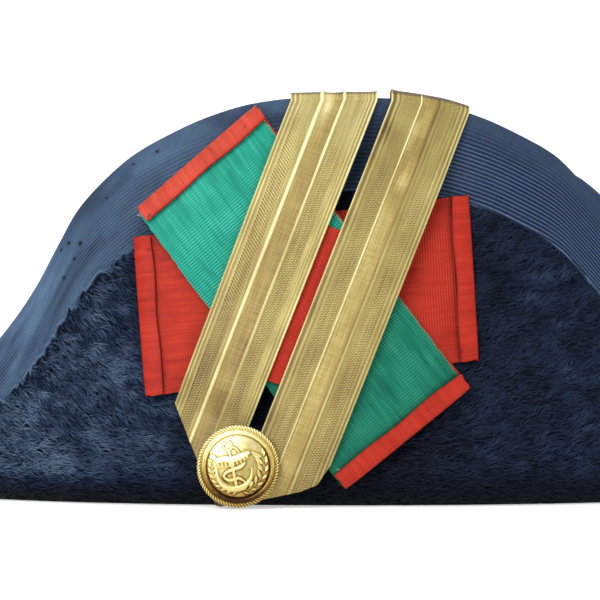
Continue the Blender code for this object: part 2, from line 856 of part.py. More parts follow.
def wreath():
    """Pairs of leaves up both sides of the field, larger on the right branch."""
    leaves = []
    for branch in BRANCHES:
        first, last = math.radians(branch.first), math.radians(branch.last)
        way = math.copysign(1, last - first)
        for k in range(branch.pairs):
            angle = first + (last - first) * k / (branch.pairs - 1)
            heading = angle + way * math.pi / 2
            size = branch.size * (0.75 + 0.25 * k / branch.pairs)
            for out in (-1, 1):
                radius = branch.radius + out * 0.75 * size
                place = (radius * math.cos(angle), radius * math.sin(angle))
                leaves.append(leaf("leaf", place, heading - way * out * 0.5, size))
    return leaves


def anchor():
    """A ring, a shank, a stock, two arms as one crescent, and a rope round the shank."""
    ring = [
        (RING_AT[0] + RING * math.cos(a), RING_AT[1] + RING * math.sin(a))
        for a in np.linspace(0, 2 * math.pi, 12, endpoint=False)
    ]
    sweep = np.radians(np.linspace(*ARM_SWEEP, 13))
    arms = [(ARM_AT[0] + ARM * math.cos(a), ARM_AT[1] + ARM * math.sin(a)) for a in sweep]
    swell = [0.02 + 0.055 * math.sin(math.pi * k / 12) for k in range(13)]
    rope = [(step.x, step.y) for step in ROPE]
    return [
        raised("ring", ring, [0.03] * 12, closed=True),
        raised("shank", SHANK, [0.045, 0.035]),
        raised("stock", STOCK, [0.035, 0.075, 0.075, 0.035]),
        raised("arms", arms, swell),
        raised("rope", rope, [0.035] * len(rope)),
    ]


def make_button(name, hat, gilt, relief):
    """The button's turned body with its wreath and anchor joined on as one solid."""
    button = put(name, make_button_body(), gilt, hat)
    button.location = (BUTTON_X, -button_back(), BUTTON_Z)
    button.rotation_euler.x = math.pi / 2 - BUTTON_TILT
    for mesh in (*anchor(), *wreath()):
        extra = bpy.data.objects.new(mesh.name, mesh)
        relief.objects.link(extra)
        extra.parent = button
        extra.hide_render = True
        extra.display_type = "WIRE"
    join = button.modifiers.new("relief", "BOOLEAN")
    join.operation = "UNION"
    join.solver = "EXACT"
    join.operand_type = "COLLECTION"
    join.collection = relief


def build_hat():
    clear_scene()
    collection = bpy.data.collections.new("bicorne")
    bpy.context.scene.collection.children.link(collection)
    cutters = bpy.data.collections.new("button relief")
    bpy.context.scene.collection.children.link(cutters)
    hat = bpy.data.objects.new("hat", None)
    hat.location.y = front_shift()
    collection.objects.link(hat)

    felt = new_material("navy plush on felt", (0.012, 0.018, 0.04), 0.8)
    grosgrain = new_material("navy grosgrain", (0.03, 0.05, 0.09), 0.6)
    red = new_material("red ribbon", (0.5, 0.03, 0.02), 0.5)
    green = new_material("green ribbon", (0.03, 0.3, 0.2), 0.5)
    gold = new_material("gold lace", (0.5, 0.38, 0.14), 0.4, 0.6)
    gilt = new_material("gilt brass", (0.8, 0.55, 0.2), 0.25, 1.0)
    make_crown(hat, felt)
    make_brim("front_brim", -1, hat, felt)
    make_brim("back_brim", 1, hat, felt)
    make_binding("front_binding", -1, hat, grosgrain)
    make_binding("back_binding", 1, hat, grosgrain)
    make_hemmed("red_ribbon", RED, LEVELS.red, hat, red)
    make_backing("red_backing", GREEN, hat, red)
    make_ribbon("green_ribbon", under_hems(GREEN), LEVELS.green, 12, hat, green)
    make_ribbon("red_patch", PATCH, LEVELS.patch, 6, hat, red)
    make_lace("gold_lace", hat, gold)
    make_button("button", hat, gilt, cutters)


build_hat()
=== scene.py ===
import math

import bpy
import numpy as np
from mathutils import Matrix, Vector


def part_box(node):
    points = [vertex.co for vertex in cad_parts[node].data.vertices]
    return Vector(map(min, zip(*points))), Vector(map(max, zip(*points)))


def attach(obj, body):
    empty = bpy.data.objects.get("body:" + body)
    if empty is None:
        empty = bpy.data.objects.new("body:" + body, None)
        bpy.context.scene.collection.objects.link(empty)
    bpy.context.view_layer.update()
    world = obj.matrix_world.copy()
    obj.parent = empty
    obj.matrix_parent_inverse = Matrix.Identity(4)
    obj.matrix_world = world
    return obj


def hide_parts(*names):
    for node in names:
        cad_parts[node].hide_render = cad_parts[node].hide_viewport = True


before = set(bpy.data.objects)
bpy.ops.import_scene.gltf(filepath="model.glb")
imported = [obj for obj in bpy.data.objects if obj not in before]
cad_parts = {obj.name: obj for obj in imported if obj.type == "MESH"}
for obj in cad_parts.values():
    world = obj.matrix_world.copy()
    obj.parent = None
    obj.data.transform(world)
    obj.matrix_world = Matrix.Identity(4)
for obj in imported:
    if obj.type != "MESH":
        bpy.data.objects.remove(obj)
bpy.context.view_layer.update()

# The studio: a white floor that curves up into a white wall behind the hat, one large soft lamp
# high at the front left, a weaker one at the right and a lamp for the wall. The camera looks
# level at the front flap from 0.9 m, with a long lens.
MM = 0.001
shift = (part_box("front_brim")[1].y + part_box("back_brim")[0].y) / 2  # the hat's middle in the frame


def linear(code):
    """An sRGB hex colour as linear light: c/12.92 below 0.04045, else ((c+0.055)/1.055)^2.4."""
    part = np.array([int(code[i : i + 2], 16) / 255 for i in (1, 3, 5)])
    part = np.where(part < 0.04045, part / 12.92, ((part + 0.055) / 1.055) ** 2.4)
    return (*part.tolist(), 1.0)


def fill(tree, taker, inputs):
    """Sets a node's inputs, by name or in order: each is a value, a socket, or another node, which
    stands for its first output."""
    for name, value in inputs.items() if isinstance(inputs, dict) else enumerate(inputs):
        if isinstance(value, bpy.types.Node):
            value = value.outputs[0]
        if isinstance(value, bpy.types.NodeSocket):
            tree.links.new(value, taker.inputs[name])
        else:
            taker.inputs[name].default_value = value


def node(tree, kind, inputs=(), **settings):
    """Adds one node with its settings and its inputs."""
    added = tree.nodes.new(kind)
    for name, value in settings.items():
        setattr(added, name, value)
    fill(tree, added, inputs)
    return added


def dyed(ramp, tints):
    """Gives a colour ramp its stops: pairs of a place from 0 to 1 and a colour."""
    for n, (at, code) in enumerate(tints):
        stop = ramp.color_ramp.elements[n] if n < 2 else ramp.color_ramp.elements.new(at)
        stop.position, stop.color = at, linear(code)
    return ramp


def begun(name):
    """A new material, its node tree and its shader."""
    cloth = bpy.data.materials.new(name)
    cloth.use_nodes = True
    return cloth, cloth.node_tree, cloth.node_tree.nodes["Principled BSDF"]


def quads(rows, count, around=False):
    """The points of a grid numbered row by row, and the faces between them. With around, each row
    closes on itself."""
    at = np.arange(rows * count).reshape(rows, count)
    if around:
        at = np.concatenate([at, at[:, :1]], axis=1)
    return at, np.stack([at[:-1, :-1], at[:-1, 1:], at[1:, 1:], at[1:, :-1]], -1).reshape(-1, 4)


def sweep(half, back, bend, top):
    """The studio's floor and wall: a line out along the floor, a quarter circle up, then the wall,
    carried sideways."""
    turn = np.linspace(0, math.pi / 2, 24)[1:]
    out = np.concatenate([[-half, back], back + bend * np.sin(turn), [back + bend]])
    high = np.concatenate([[0, 0], bend - bend * np.cos(turn), [top]])
    across = np.linspace(-half, half, 5)
    grid = np.stack(np.broadcast_arrays(across, out[:, None], high[:, None]), axis=-1)
    mesh = bpy.data.meshes.new("studio_floor")
    mesh.from_pydata(grid.reshape(-1, 3).tolist(), [], quads(*grid.shape[:2])[1].tolist())
    mesh.shade_smooth()
    return bpy.data.objects.new("studio_floor", mesh)


camera = bpy.data.objects.new("camera", bpy.data.cameras.new("camera"))
camera.data.lens = 173.08
camera.data.sensor_width = 36
camera.location = (-14.2 * MM, shift - 985 * MM, 64.2 * MM)
camera.rotation_euler = (math.pi / 2, 0, 0)
bpy.context.scene.collection.objects.link(camera)
bpy.context.scene.camera = camera
bpy.context.scene.view_settings.view_transform = "Standard"

floor = sweep(half=7.0, back=3.4, bend=1.0, top=5.0)
bpy.context.scene.collection.objects.link(floor)
paper, tree, shader = begun("matt white backdrop paper")
# lit from below like a light table, so that hardly a shadow shows
fill(tree, shader, {
    "Base Color": linear("#f7f7f7"), "Roughness": 0.95,
    "Emission Color": linear("#ffffff"), "Emission Strength": 0.47,
})
floor.data.materials.append(paper)

for name, place, aim, size, power in (
    ("key", (-0.62, -1.15, 0.95), (0, 0, 0.06), 0.95, 16),
    ("fill", (0.95, -1.2, 0.45), (0, 0, 0.06), 0.9, 4.5),
    ("wall", (0, 0.9, 1.9), (0, 2.4, 0.4), 1.6, 42),
):
    lamp = bpy.data.lights.new(name, "AREA")
    lamp.energy, lamp.size = power, size
    holder = bpy.data.objects.new(name, lamp)
    holder.location = place
    holder.rotation_euler = (Vector(aim) - Vector(place)).to_track_quat("-Z", "Y").to_euler()
    bpy.context.scene.collection.objects.link(holder)

room = bpy.data.worlds.new("room")
room.use_nodes = True
tree = room.node_tree
split = node(tree, "ShaderNodeSeparateXYZ", (node(tree, "ShaderNodeTexCoord").outputs["Generated"],))
lift = node(tree, "ShaderNodeMapRange", {"Value": split.outputs["Z"], "From Min": -0.5, "From Max": 0.9})
shade = dyed(node(tree, "ShaderNodeValToRGB", (lift,)), ((0, "#6a5a48"), (1, "#ffffff")))
fill(tree, tree.nodes["Background"], {"Color": shade, "Strength": 0.5})
bpy.context.scene.world = room


# The crown: the soft oval dome over the head, felt blocked to shape and covered with the same
# navy plush as the brim. It is sewn to the brim round the head opening, out of the camera's sight.
FELT = 2.5 * MM
GAP = 0.3 * MM  # left between neighbours
HEAD = np.array([98, 77, 104]) * MM  # the dome's inside: half its length and width, and its height
BAND = 4 * MM  # the straight band below the dome


def made(name, places, faces, cloth, finish, uv=None, sharp=50, **shades):
    """One piece of the hat: a mesh moved back with the hat, smooth but for its sharp corners, with
    its tone and any other shades as numbers on its points."""
    mesh = bpy.data.meshes.new(name)
    mesh.from_pydata((places + np.array([0, shift, 0])).tolist(), [], faces)
    mesh.materials.append(cloth)
    if uv is not None:
        corner = np.empty(len(mesh.loops), np.int32)
        mesh.loops.foreach_get("vertex_index", corner)
        mesh.uv_layers.new(name="cloth").data.foreach_set("uv", uv[corner].astype(np.float32).ravel())
    for label, values in shades.items():
        shade = mesh.attributes.new(label, "FLOAT", "POINT")
        shade.data.foreach_set("value", np.asarray(values, np.float32).ravel())
    mesh.shade_smooth()
    if sharp:
        mesh.set_sharp_from_angle(angle=math.radians(sharp))
    piece = bpy.data.objects.new(name, mesh)
    bpy.context.scene.collection.objects.link(piece)
    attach(piece, "root")
    return piece


def turned_out(places, faces, ends=()):
    """The faces and the end rings as they are if the volume inside the faces is positive, and
    turned over if not."""
    first, second, third, last = (places[faces[:, k]] for k in range(4))
    volume = np.einsum("ij,ij->i", first, np.cross(second, third) + np.cross(third, last)).sum()
    return [ring[:: 1 if volume > 0 else -1] for ring in [*faces.tolist(), *ends]]


def wall_of(outside, inside, around=False):
    """A closed wall between two matching grids: the places of both, and the faces of both sides
    and of the rims. With around, each row of the grid closes on itself."""
    at, front = quads(*outside.shape[:2], around)
    under = outside[..., 0].size
    rims = [at[0], at[-1, ::-1]]
    if not around:
        rims = [np.concatenate([at[0, :-1], at[:-1, -1], at[-1, :0:-1], at[::-1, 0]])]
    sides = [np.stack([rim[1:], rim[:-1], rim[:-1] + under, rim[1:] + under], -1) for rim in rims]
    places = np.concatenate([outside.reshape(-1, 3), inside.reshape(-1, 3)])
    return places, turned_out(places, np.concatenate([front, front[:, ::-1] + under, *sides]))


def clouds(x, z, size, seed):
    """Smooth noise from -1 to 1: random heights at lattice points one size apart, eased between."""
    lattice = np.random.default_rng(seed).uniform(-1, 1, (128, 128))
    i, j = np.floor(x / size).astype(int), np.floor(z / size).astype(int)
    s, t = x / size - i, z / size - j
    s, t = s * s * (3 - 2 * s), t * t * (3 - 2 * t)
    low = lattice[i % 128, j % 128] * (1 - s) + lattice[(i + 1) % 128, j % 128] * s
    high = lattice[i % 128, (j + 1) % 128] * (1 - s) + lattice[(i + 1) % 128, (j + 1) % 128] * s
    return low * (1 - t) + high * t


def crown_skin(turn, up, size):
    """The dome: x = a cos(turn) cos(up), y = b sin(turn) cos(up), z = band + c sin(up)."""
    x = size[0] * np.cos(turn) * np.cos(up)
    y = size[1] * np.sin(turn) * np.cos(up)
    z = GAP + BAND + size[2] * np.sin(up)
    return np.stack(np.broadcast_arrays(x, y, z), axis=-1)


def crown_wall():
    """Inner and outer domes, each with a short straight band below and closed at the top."""
    turn = np.linspace(0, 2 * math.pi, 97)[:-1]
    up = np.linspace(0, math.pi / 2, 27)[:-1]
    grids = []
    for size in (HEAD + FELT, HEAD):
        grid = crown_skin(turn[None, :], up[:, None], size)
        top = np.broadcast_to(crown_skin(0.0, math.pi / 2, size), (1, len(turn), 3))
        grids.append(np.concatenate([grid[:1] - np.array([0, 0, BAND]), grid, top]))
    return wall_of(*grids, around=True)


# Felt under plush: a near-black blue ground that shows only between the hairs, quite matt.
ground, tree, shader = begun("navy plush ground")
coords = node(tree, "ShaderNodeTexCoord")
# the nap's streaks, about 4 mm long and 0.6 mm wide, lie along the hat
streaks = node(tree, "ShaderNodeMapping", {"Vector": coords.outputs["Object"], "Scale": (260, 900, 1600)})
hairs = node(tree, "ShaderNodeTexNoise", {"Vector": streaks, "Scale": 1.0, "Detail": 4.0})
fill(tree, shader, {
    "Base Color": dyed(node(tree, "ShaderNodeValToRGB", (hairs,)), ((0.30, "#05060a"), (0.75, "#1b2334"))),
    "Normal": node(tree, "ShaderNodeBump", {"Height": hairs, "Strength": 0.8, "Distance": 0.0008}),
    "Roughness": 0.8, "Specular IOR Level": 0.1,
})

crown = made("crown_felt", *crown_wall(), ground, "plush")
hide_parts("crown")


# The brim: one felt sheet cut in a long oval, its front and back halves turned up along a rolled
# fold so that two flaps stand against the crown and meet in a point at each tip.
HALF = 230 * MM  # from the middle to a tip
HALF_FOLD = 92 * MM  # from the middle to the outside of the fold
HIGH = 128.5 * MM  # the front flap's edge at its middle
BACK_RISE = 2 * MM  # the back flap is that much taller
LEAN = math.radians(18)
BEND = math.pi / 2 + LEAN  # how far the fold turns
BELLY = 3 * MM  # how far a flap bows out
TIP_LIFT = 6 * MM  # how far the underside rises at a tip
TIP_ROUND = 20 * MM  # over what length an edge is rounded down there
ROLL = 9 * MM  # the fold's radius
# half the width across the folds along the hat, as shares of half the length and of half the width
FOLD_AT = np.array([0, 0.12, 0.24, 0.36, 0.47, 0.57, 0.68, 0.80, 0.90, 1])
FOLD_IS = np.array([1, 0.986, 0.938, 0.848, 0.708, 0.540, 0.350, 0.212, 0.138, 0.090])
# the flaps' edges along the hat, as shares of half the length and of each flap's height
EDGE_AT = np.array(
    [-1, -0.88, -0.74, -0.63, -0.56, -0.51, -0.463, -0.43, -0.40, -0.372, -0.336, -0.295, -0.25, -0.19,
     -0.125, -0.07, 0, 0.07, 0.125, 0.19, 0.25, 0.295, 0.33, 0.364, 0.392, 0.422, 0.455, 0.502, 0.553,
     0.63, 0.74, 0.88, 1]
)
FRONT_IS = np.array(
    [0.203, 0.206, 0.214, 0.236, 0.278, 0.342, 0.437, 0.524, 0.626, 0.718, 0.792, 0.856, 0.903, 0.952,
     0.986, 0.998, 1, 0.998, 0.986, 0.952, 0.903, 0.856, 0.793, 0.719, 0.630, 0.528, 0.441, 0.346, 0.281,
     0.236, 0.214, 0.206, 0.203]
)
BACK_IS = np.array(
    [0.203, 0.206, 0.215, 0.240, 0.290, 0.365, 0.470, 0.565, 0.662, 0.745, 0.808, 0.860, 0.903, 0.952,
     0.986, 0.998, 1, 0.998, 0.986, 0.952, 0.908, 0.880, 0.856, 0.829, 0.793, 0.738, 0.645, 0.490, 0.368,
     0.275, 0.224, 0.208, 0.203]
)


def rise(x, start, over):
    """From 0 at start to 1 a distance further on, in a straight line; a negative one goes back."""
    return np.clip((x - start) / over, 0, 1)


def unit(ways):
    """Directions brought to a length of one."""
    return ways / np.linalg.norm(ways, axis=-1, keepdims=True)


def eased(x, y, at):
    """A smooth curve through points, flat at its start: cubic pieces whose slope at a point is the
    harmonic mean of the slopes on both sides, and zero where they differ in sign."""
    step = np.diff(x)
    slope = np.diff(y) / step
    same = slope[:-1] * slope[1:] > 0
    mean = np.where(same, 2 * slope[:-1] * slope[1:] / np.where(same, slope[:-1] + slope[1:], 1), 0)
    tangent = np.concatenate([[0], mean, [slope[-1]]])
    at = np.clip(at, x[0], x[-1])
    i = np.clip(np.searchsorted(x, at, side="right") - 1, 0, len(step) - 1)
    t = (at - x[i]) / step[i]
    level = (2 * t**3 - 3 * t**2 + 1) * y[i] + (3 * t**2 - 2 * t**3) * y[i + 1]
    return level + ((t**3 - 2 * t**2 + t) * tangent[i] + (t**3 - t**2) * tangent[i + 1]) * step[i]


def underside(x):
    """Flat beside the head, then rising with the square of the distance to the tips."""
    end = HEAD[0] + 2 * (FELT + GAP)
    return TIP_LIFT * (np.maximum(np.abs(x) - end, 0) / (HALF - end)) ** 2


def fold(x):
    """The outside of the fold, measured from the hat's middle line."""
    return HALF_FOLD * eased(FOLD_AT, FOLD_IS, np.abs(x) / HALF)


def roll(x):
    """The fold's radius, smaller where the brim narrows to the tips."""
    return np.minimum(ROLL, 0.8 * fold(x))


def fold_top(x):
    """The height where the fold's circle ends and the flap goes on straight."""
    return underside(x) + roll(x) * (1 + math.sin(LEAN))


def edge(x, side=-1):
    """The height of a flap's edge: the table's curve, rounded down as a quarter circle at a tip."""
    left = rise(np.abs(x), HALF, -TIP_ROUND)
    low = underside(x) + 1.7 * roll(x)
    tall, shares = (HIGH, FRONT_IS) if side < 0 else (HIGH + BACK_RISE, BACK_IS)
    return low + (tall * eased(EDGE_AT, shares, x / HALF) - low) * np.sqrt(1 - (1 - left) ** 2)


def face(x, z):
    """How far a flap's outside stands from the middle: the fold's circle up to the lean, then a
    leaning line with half a sine's bow on it."""
    radius = roll(x)
    turned = np.clip((z - underside(x) - radius) / radius, 0, math.sin(LEAN))
    up = np.maximum(z - fold_top(x), 0)
    bow = BELLY * np.sin(np.pi * np.clip(up / (HIGH - ROLL), 0, 1))
    return fold(x) - radius + radius * np.sqrt(1 - turned**2) - math.tan(LEAN) * up + bow


def skin(x, run, side):
    """A point of a flap's outside at a distance along its section from the flat underside: round
    the fold by run over radius, then straight up by the rest of run times the lean's cosine."""
    radius = roll(x)
    turn = np.clip(run / radius, 0, BEND)
    up = np.maximum(run - radius * BEND, 0) * math.cos(LEAN)
    z = underside(x) + radius * (1 - np.cos(turn)) + up
    y = np.where(up > 0, face(x, z), fold(x) - radius + radius * np.sin(turn))
    return np.stack(np.broadcast_arrays(x, side * y, z), axis=-1)


def frame_at(x, run, side):
    """The place on a flap's outside, its unit normal and its unit ways along the hat and up."""
    step = 0.15 * MM
    along = skin(x + step, run, side) - skin(x - step, run, side)
    up = skin(x, run + step, side) - skin(x, np.maximum(run - step, 0), side)
    return skin(x, run, side), unit(-side * np.cross(along, up)), unit(along), unit(up)


def section_run(x, side=-1):
    """The whole distance along a section from the flat underside to the flap's edge."""
    return roll(x) * BEND + np.maximum(edge(x, side) - fold_top(x), 0) / math.cos(LEAN)


def normals(grid):
    """The unit normals of a grid of places, from its slopes along and across."""
    return unit(np.cross(np.gradient(grid, axis=1), np.gradient(grid, axis=0)))


def brim_wall(side):
    """The half brim: rows from the head opening over the flat, round the fold and up the flap,
    with the inside one felt's thickness below along the surface's normal."""
    long, wide = HEAD[:2] + FELT - 0.1 * MM
    head = long * np.sin(np.linspace(0, math.pi / 2, 56))
    tips = np.linspace(0, 1, 31)[1:]
    tips = head[-1] + (0.3 * tips + 0.7 * np.sin(tips * math.pi / 2)) * (HALF - head[-1])
    x = np.concatenate([-tips[::-1], -head[:0:-1], head, tips])
    inner = wide * np.sqrt(np.clip(1 - (x / long) ** 2, 0, 1))
    flat = np.maximum(fold(x) - roll(x), inner + 0.3 * MM)
    rows = [np.stack([x, side * (inner + t * (flat - inner)), underside(x)], -1) for t in (0, 0.34, 0.67)]
    arc = roll(x) * BEND
    rows += [skin(x, t * arc, side) for t in np.linspace(0, 1, 13)]
    rows += [skin(x, arc + t * (section_run(x, side) - arc), side) for t in np.linspace(0, 1, 29)[1:]]
    rows[3][:, 1] = side * flat
    outside = np.stack(rows)
    out = normals(outside)
    facing = np.sum(out * (outside - np.array([0, 0, 60 * MM])), axis=-1, keepdims=True)
    out *= np.sign(np.median(facing))
    return wall_of(outside, outside - FELT * out)


front_brim = made("front_brim_felt", *brim_wall(-1), ground, "plush")
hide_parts("front_brim")
back_brim = made("back_brim_felt", *brim_wall(1), ground, "plush")
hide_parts("back_brim")


# The nap of the plush: silky navy hairs about 3 mm long that stand in the felt and lie brushed to
# one side, down to the right at the left of the front flap, level at the fold and rising at the
# right. Tufts of them part, so that dark gaps and bluish streaks lie side by side.
HAIR = 3.3 * MM
HAIR_WIDE = 0.15 * MM  # half of it; real hairs are finer, and this is as fine as shows
BINDING_WIDTH = 30 * MM
# how far down the binding shows along the hat, as shares of half the length and of its full width
REACH_AT = np.array(
    [-1, -0.6, -0.52, -0.45, -0.40, -0.34, -0.10, 0.10, 0.25, 0.32, 0.37, 0.43, 0.52, 0.60, 1]
)
REACH_IS = np.array(
    [0.30, 0.42, 0.60, 0.79, 0.94, 1.02, 1.00, 1.00, 0.97, 1.01, 1.04, 0.85, 0.60, 0.42, 0.30]
)


def bell(x, at, wide):
    """A soft bump of 1 at a place: e to the minus square of the distance over its width."""
    return np.exp(-(((x - at) / wide) ** 2))


def band_width(x, side):
    """How far down a flap its binding reaches."""
    return BINDING_WIDTH / math.cos(LEAN) * eased(REACH_AT, REACH_IS, -side * x / HALF)


def strands(name, roots, out, lay, length, lift, tone, seed):
    """Hairs as tapering strips of three faces: root + lay length t + 4 out lift (t - 0.75 t^2), at t
    0, 0.55 and 1, as wide as the hair there and rolled at random about its own line."""
    chance = np.random.default_rng(seed)
    count = len(roots)
    turn = chance.normal(0, 0.5, count)[:, None]
    across = np.cross(out, lay) * np.cos(turn) + out * np.sin(turn)
    curl = np.cross(out, lay) * chance.normal(0, 0.10, count)[:, None]
    length, lift = length[:, None], lift[:, None]
    root, middle, tip = (
        roots + lay * length * t + curl * length * t * t + out * lift * (t - 0.75 * t * t) * 4
        for t in (0, 0.55, 1)
    )
    wide = HAIR_WIDE * chance.uniform(0.7, 1.3, count)[:, None]
    points = np.stack(
        [root - across * wide, root + across * wide, middle - across * wide * 0.8,
         middle + across * wide * 0.8, tip], axis=1)
    points[..., 2] = np.maximum(points[..., 2], 0.15 * MM)
    first = 5 * np.arange(count)[:, None]
    faces = np.concatenate([first + (0, 3, 1), first + (0, 2, 3), first + (2, 4, 3)])
    # painted shade: each hair is darker at its root, among the others, than at its tip
    shade = tone[:, None] * np.array([0.5, 0.5, 0.95, 0.95, 1.05])
    return made(name, points.reshape(-1, 3), faces.tolist(), nap, "plush", tone=shade, sharp=None)


# Silk plush: the hairs' own gloss gives the bluish streaks; the tone along each is painted from the dark
# root, as the shade among the hairs, to the lighter tip.
nap, tree, shader = begun("navy plush nap")
tone = node(tree, "ShaderNodeAttribute", attribute_name="tone").outputs["Fac"]
tint = dyed(node(tree, "ShaderNodeValToRGB", (tone,)), (
    (0.0, "#010205"), (0.25, "#091022"), (0.5, "#1b2942"), (0.75, "#3c4e68"), (1.0, "#6a7d96")))
fill(tree, shader, {"Base Color": tint, "Roughness": 0.5, "Specular IOR Level": 0.12})


def brush(x, z):
    """How the front flap's nap lies, how light it is painted and how far that varies: eased from the
    brushed-down left to the brushed-up right, painted lighter at the left that faces the lamp and
    darker as shade towards the fold, with a flat patch rubbed by wear at the lower left."""
    # light is painted: lighter at the left of the flap, which faces the lamp, and darkest in the middle
    at = np.array([-230, -105, -62, -46, 0, 40, 70, 95, 230]) * MM
    angle = np.interp(x, at, [-14, -38, -44, -38, -4, 16, 19, 14, 4])
    light = np.interp(x, at, [0.56, 0.68, 0.57, 0.33, 0.22, 0.34, 0.42, 0.44, 0.44])
    uneven = np.interp(x, at, [0.9, 1.0, 1.0, 0.9, 0.8, 1.0, 1.0, 1.0, 0.9])
    low = rise(z, 5 * MM, 30 * MM)
    low = low * low * (3 - 2 * low)
    wear_and_shade = bell(x, -92 * MM, 9 * MM) * bell(z, 11.5 * MM, 5.5 * MM)
    # painted shade beside the cockade's upper left edge, and at the bottom where the fold rolls under
    beside = rise(x, -80 * MM, 16 * MM) * rise(z, 36 * MM, 22 * MM) * (x < -40 * MM)
    light = light * (0.05 + 0.95 * rise(z, 1.5 * MM, 9 * MM)) * (1 + 0.34 * wear_and_shade) * (1 - 0.45 * beside)
    return np.radians(angle * low), light, uneven * (1 - 0.75 * wear_and_shade)


def flap_nap(name, side, count, seed, long=1.0):
    """Hairs over a flap's outside from the fold's underside up to a little past the binding's
    edge, as thick everywhere: x and the run are picked evenly over the surface."""
    chance = np.random.default_rng(seed)
    x = chance.uniform(-HALF * 0.995, HALF * 0.995, count * 6)
    tall = np.maximum(section_run(x, side) - band_width(x, side) + 1.5 * MM, 6 * MM)
    share = np.where(np.abs(x) < 118 * MM, 1.0, 0.6)  # thinner towards the tips
    keep = chance.uniform(0, 1, len(x)) < share * tall / tall.max()
    x, tall = x[keep][:count], tall[keep][:count]
    run = tall * chance.uniform(0.0, 1.0, len(x))
    place, out, along, up = frame_at(x, run, side)
    z = place[:, 2]
    angle, light, uneven = brush(x, z) if side < 0 else (0 * x - 0.1, 0.36 + 0 * x, 0.7 + 0 * x)
    tuft = clouds(x + 0.5 * z, 1.7 * (z - 0.3 * x), 4.2 * MM, seed + 1)
    strand = clouds(x + 0.5 * z, 3.0 * (z + 0.5 * x), 2.0 * MM, seed + 2)
    swirl = clouds(x, z, 8 * MM, seed + 3)
    angle = angle + np.radians(14 * swirl + 20 * tuft + chance.normal(0, 15, len(x)))
    lay = along * np.cos(angle)[:, None] + up * np.sin(angle)[:, None]
    length = HAIR * long * (1 + 0.25 * tuft + chance.normal(0, 0.15, len(x)))
    length *= 1 + 0.25 * rise(x, -40 * MM, -20 * MM) * (side < 0)
    brim_edge = np.clip(1 - (tall - run) / (2.5 * MM), 0, 1) * (x < -66 * MM) * (side < 0)
    lift = np.clip(0.75 + 0.35 * tuft, 0.25, 1.2) * MM * np.clip(z / (4 * MM), 0.2, 1)
    lift += 1.4 * MM * brim_edge
    vary = 0.38 * tuft + 0.18 * strand + 0.22 * swirl + 0.06 * chance.normal(0, 1, len(x))
    tone = light * (1 + uneven * vary) + chance.normal(0, 0.015, len(x))
    return strands(name, place, out, lay, length, lift, np.clip(tone, 0.01, 1), seed + 4)


flap_nap("front_nap", -1, 62000, 11)
flap_nap("front_nap_under", -1, 26000, 21, long=0.7)
flap_nap("back_nap", 1, 20000, 31)


def crown_nap(count, seed):
    """Hairs over the dome, laid round it: the heights of even bands of a sphere, stretched."""
    chance = np.random.default_rng(seed)
    turn = chance.uniform(0, 2 * math.pi, count)
    up = np.arcsin(chance.uniform(0.02, 1, count))
    size = HEAD + FELT
    place = crown_skin(turn, up, size)
    out = unit((place - np.array([0, 0, GAP + BAND])) / size**2)
    lay = np.stack([-np.sin(turn), np.cos(turn), 0 * turn], axis=1) + out * 0.02
    tuft = clouds(place[:, 0] + place[:, 2], 2 * place[:, 1], 6 * MM, seed + 1)
    tone = np.clip(0.34 * (1 + 0.5 * tuft) + chance.normal(0, 0.07, count), 0.02, 1)
    length = HAIR * (1.3 + 0.2 * tuft)
    return strands("crown_nap", place, out, lay, length, 0.6 * MM + 0 * tone, tone, seed + 2)


crown_nap(13000, 51)


# The bindings: navy grosgrain ribbon folded over the edge of each flap and sewn through, its
# cords running along the edge. It is faded and mottled at the left of the front, where its inner
# edge has frayed; at the right its cords stand out clear, painted pale on top and dark between.
BINDING = 1 * MM  # its thickness
BINDING_INSIDE = 18 * MM  # how far down it reaches behind the flap
CORD = 1.45 * MM  # from one rib of the grosgrain to the next
CORD_DEEP = 0.34 * MM  # from a rib's top to its valley
BAND_HALF = 224.6 * MM  # from the middle to the binding's ends
# small holes in the band, worn or eaten, seen from the front, and half their width, in mm
HOLES = np.array(
    [[-60.2, 112.1, 0.38], [-67.9, 108.0, 0.3], [-88.6, 82.5, 0.42], [-84.8, 82.4, 0.5],
     [-91.1, 80.4, 0.3], [-86.6, 77.5, 0.32], [-89.9, 71.3, 0.4], [-76.5, 97.0, 0.25]]
)
# the distance along the front flap's edge from the left tip, summed over short steps
EDGE_X = np.linspace(-HALF, HALF, 2400)
EDGE_RUN = np.concatenate([[0], np.cumsum(np.hypot(np.diff(EDGE_X), np.diff(edge(EDGE_X))))])


def crest(down, x):
    """How high the cords stand across the band, 0 in a valley to 1 on a cord: (1 - |2 frac(down /
    pitch) - 1|)^1.3, a little uneven along the hat."""
    wander = 0.10 * CORD * clouds(x, down, 14 * MM, 61)
    return (1 - np.abs(2 * np.mod((down + wander) / CORD, 1) - 1)) ** 1.3


def frayed(x, side):
    """How far the band's inner edge comes and goes: ragged teeth some 1 to 3 mm apart at the left
    of the front, and a faint ripple elsewhere."""
    wear_and_shade = rise(x, -46 * MM, -16 * MM) if side < 0 else 0 * x
    run = np.interp(x, EDGE_X, EDGE_RUN)
    teeth = clouds(run, 0 * run, 2.6 * MM, 64) + 0.8 * clouds(run, 0 * run, 1.3 * MM, 65)
    return (0.10 + 1.5 * wear_and_shade) * MM * teeth + 0.9 * MM * wear_and_shade * clouds(run, 0 * run, 9 * MM, 66)


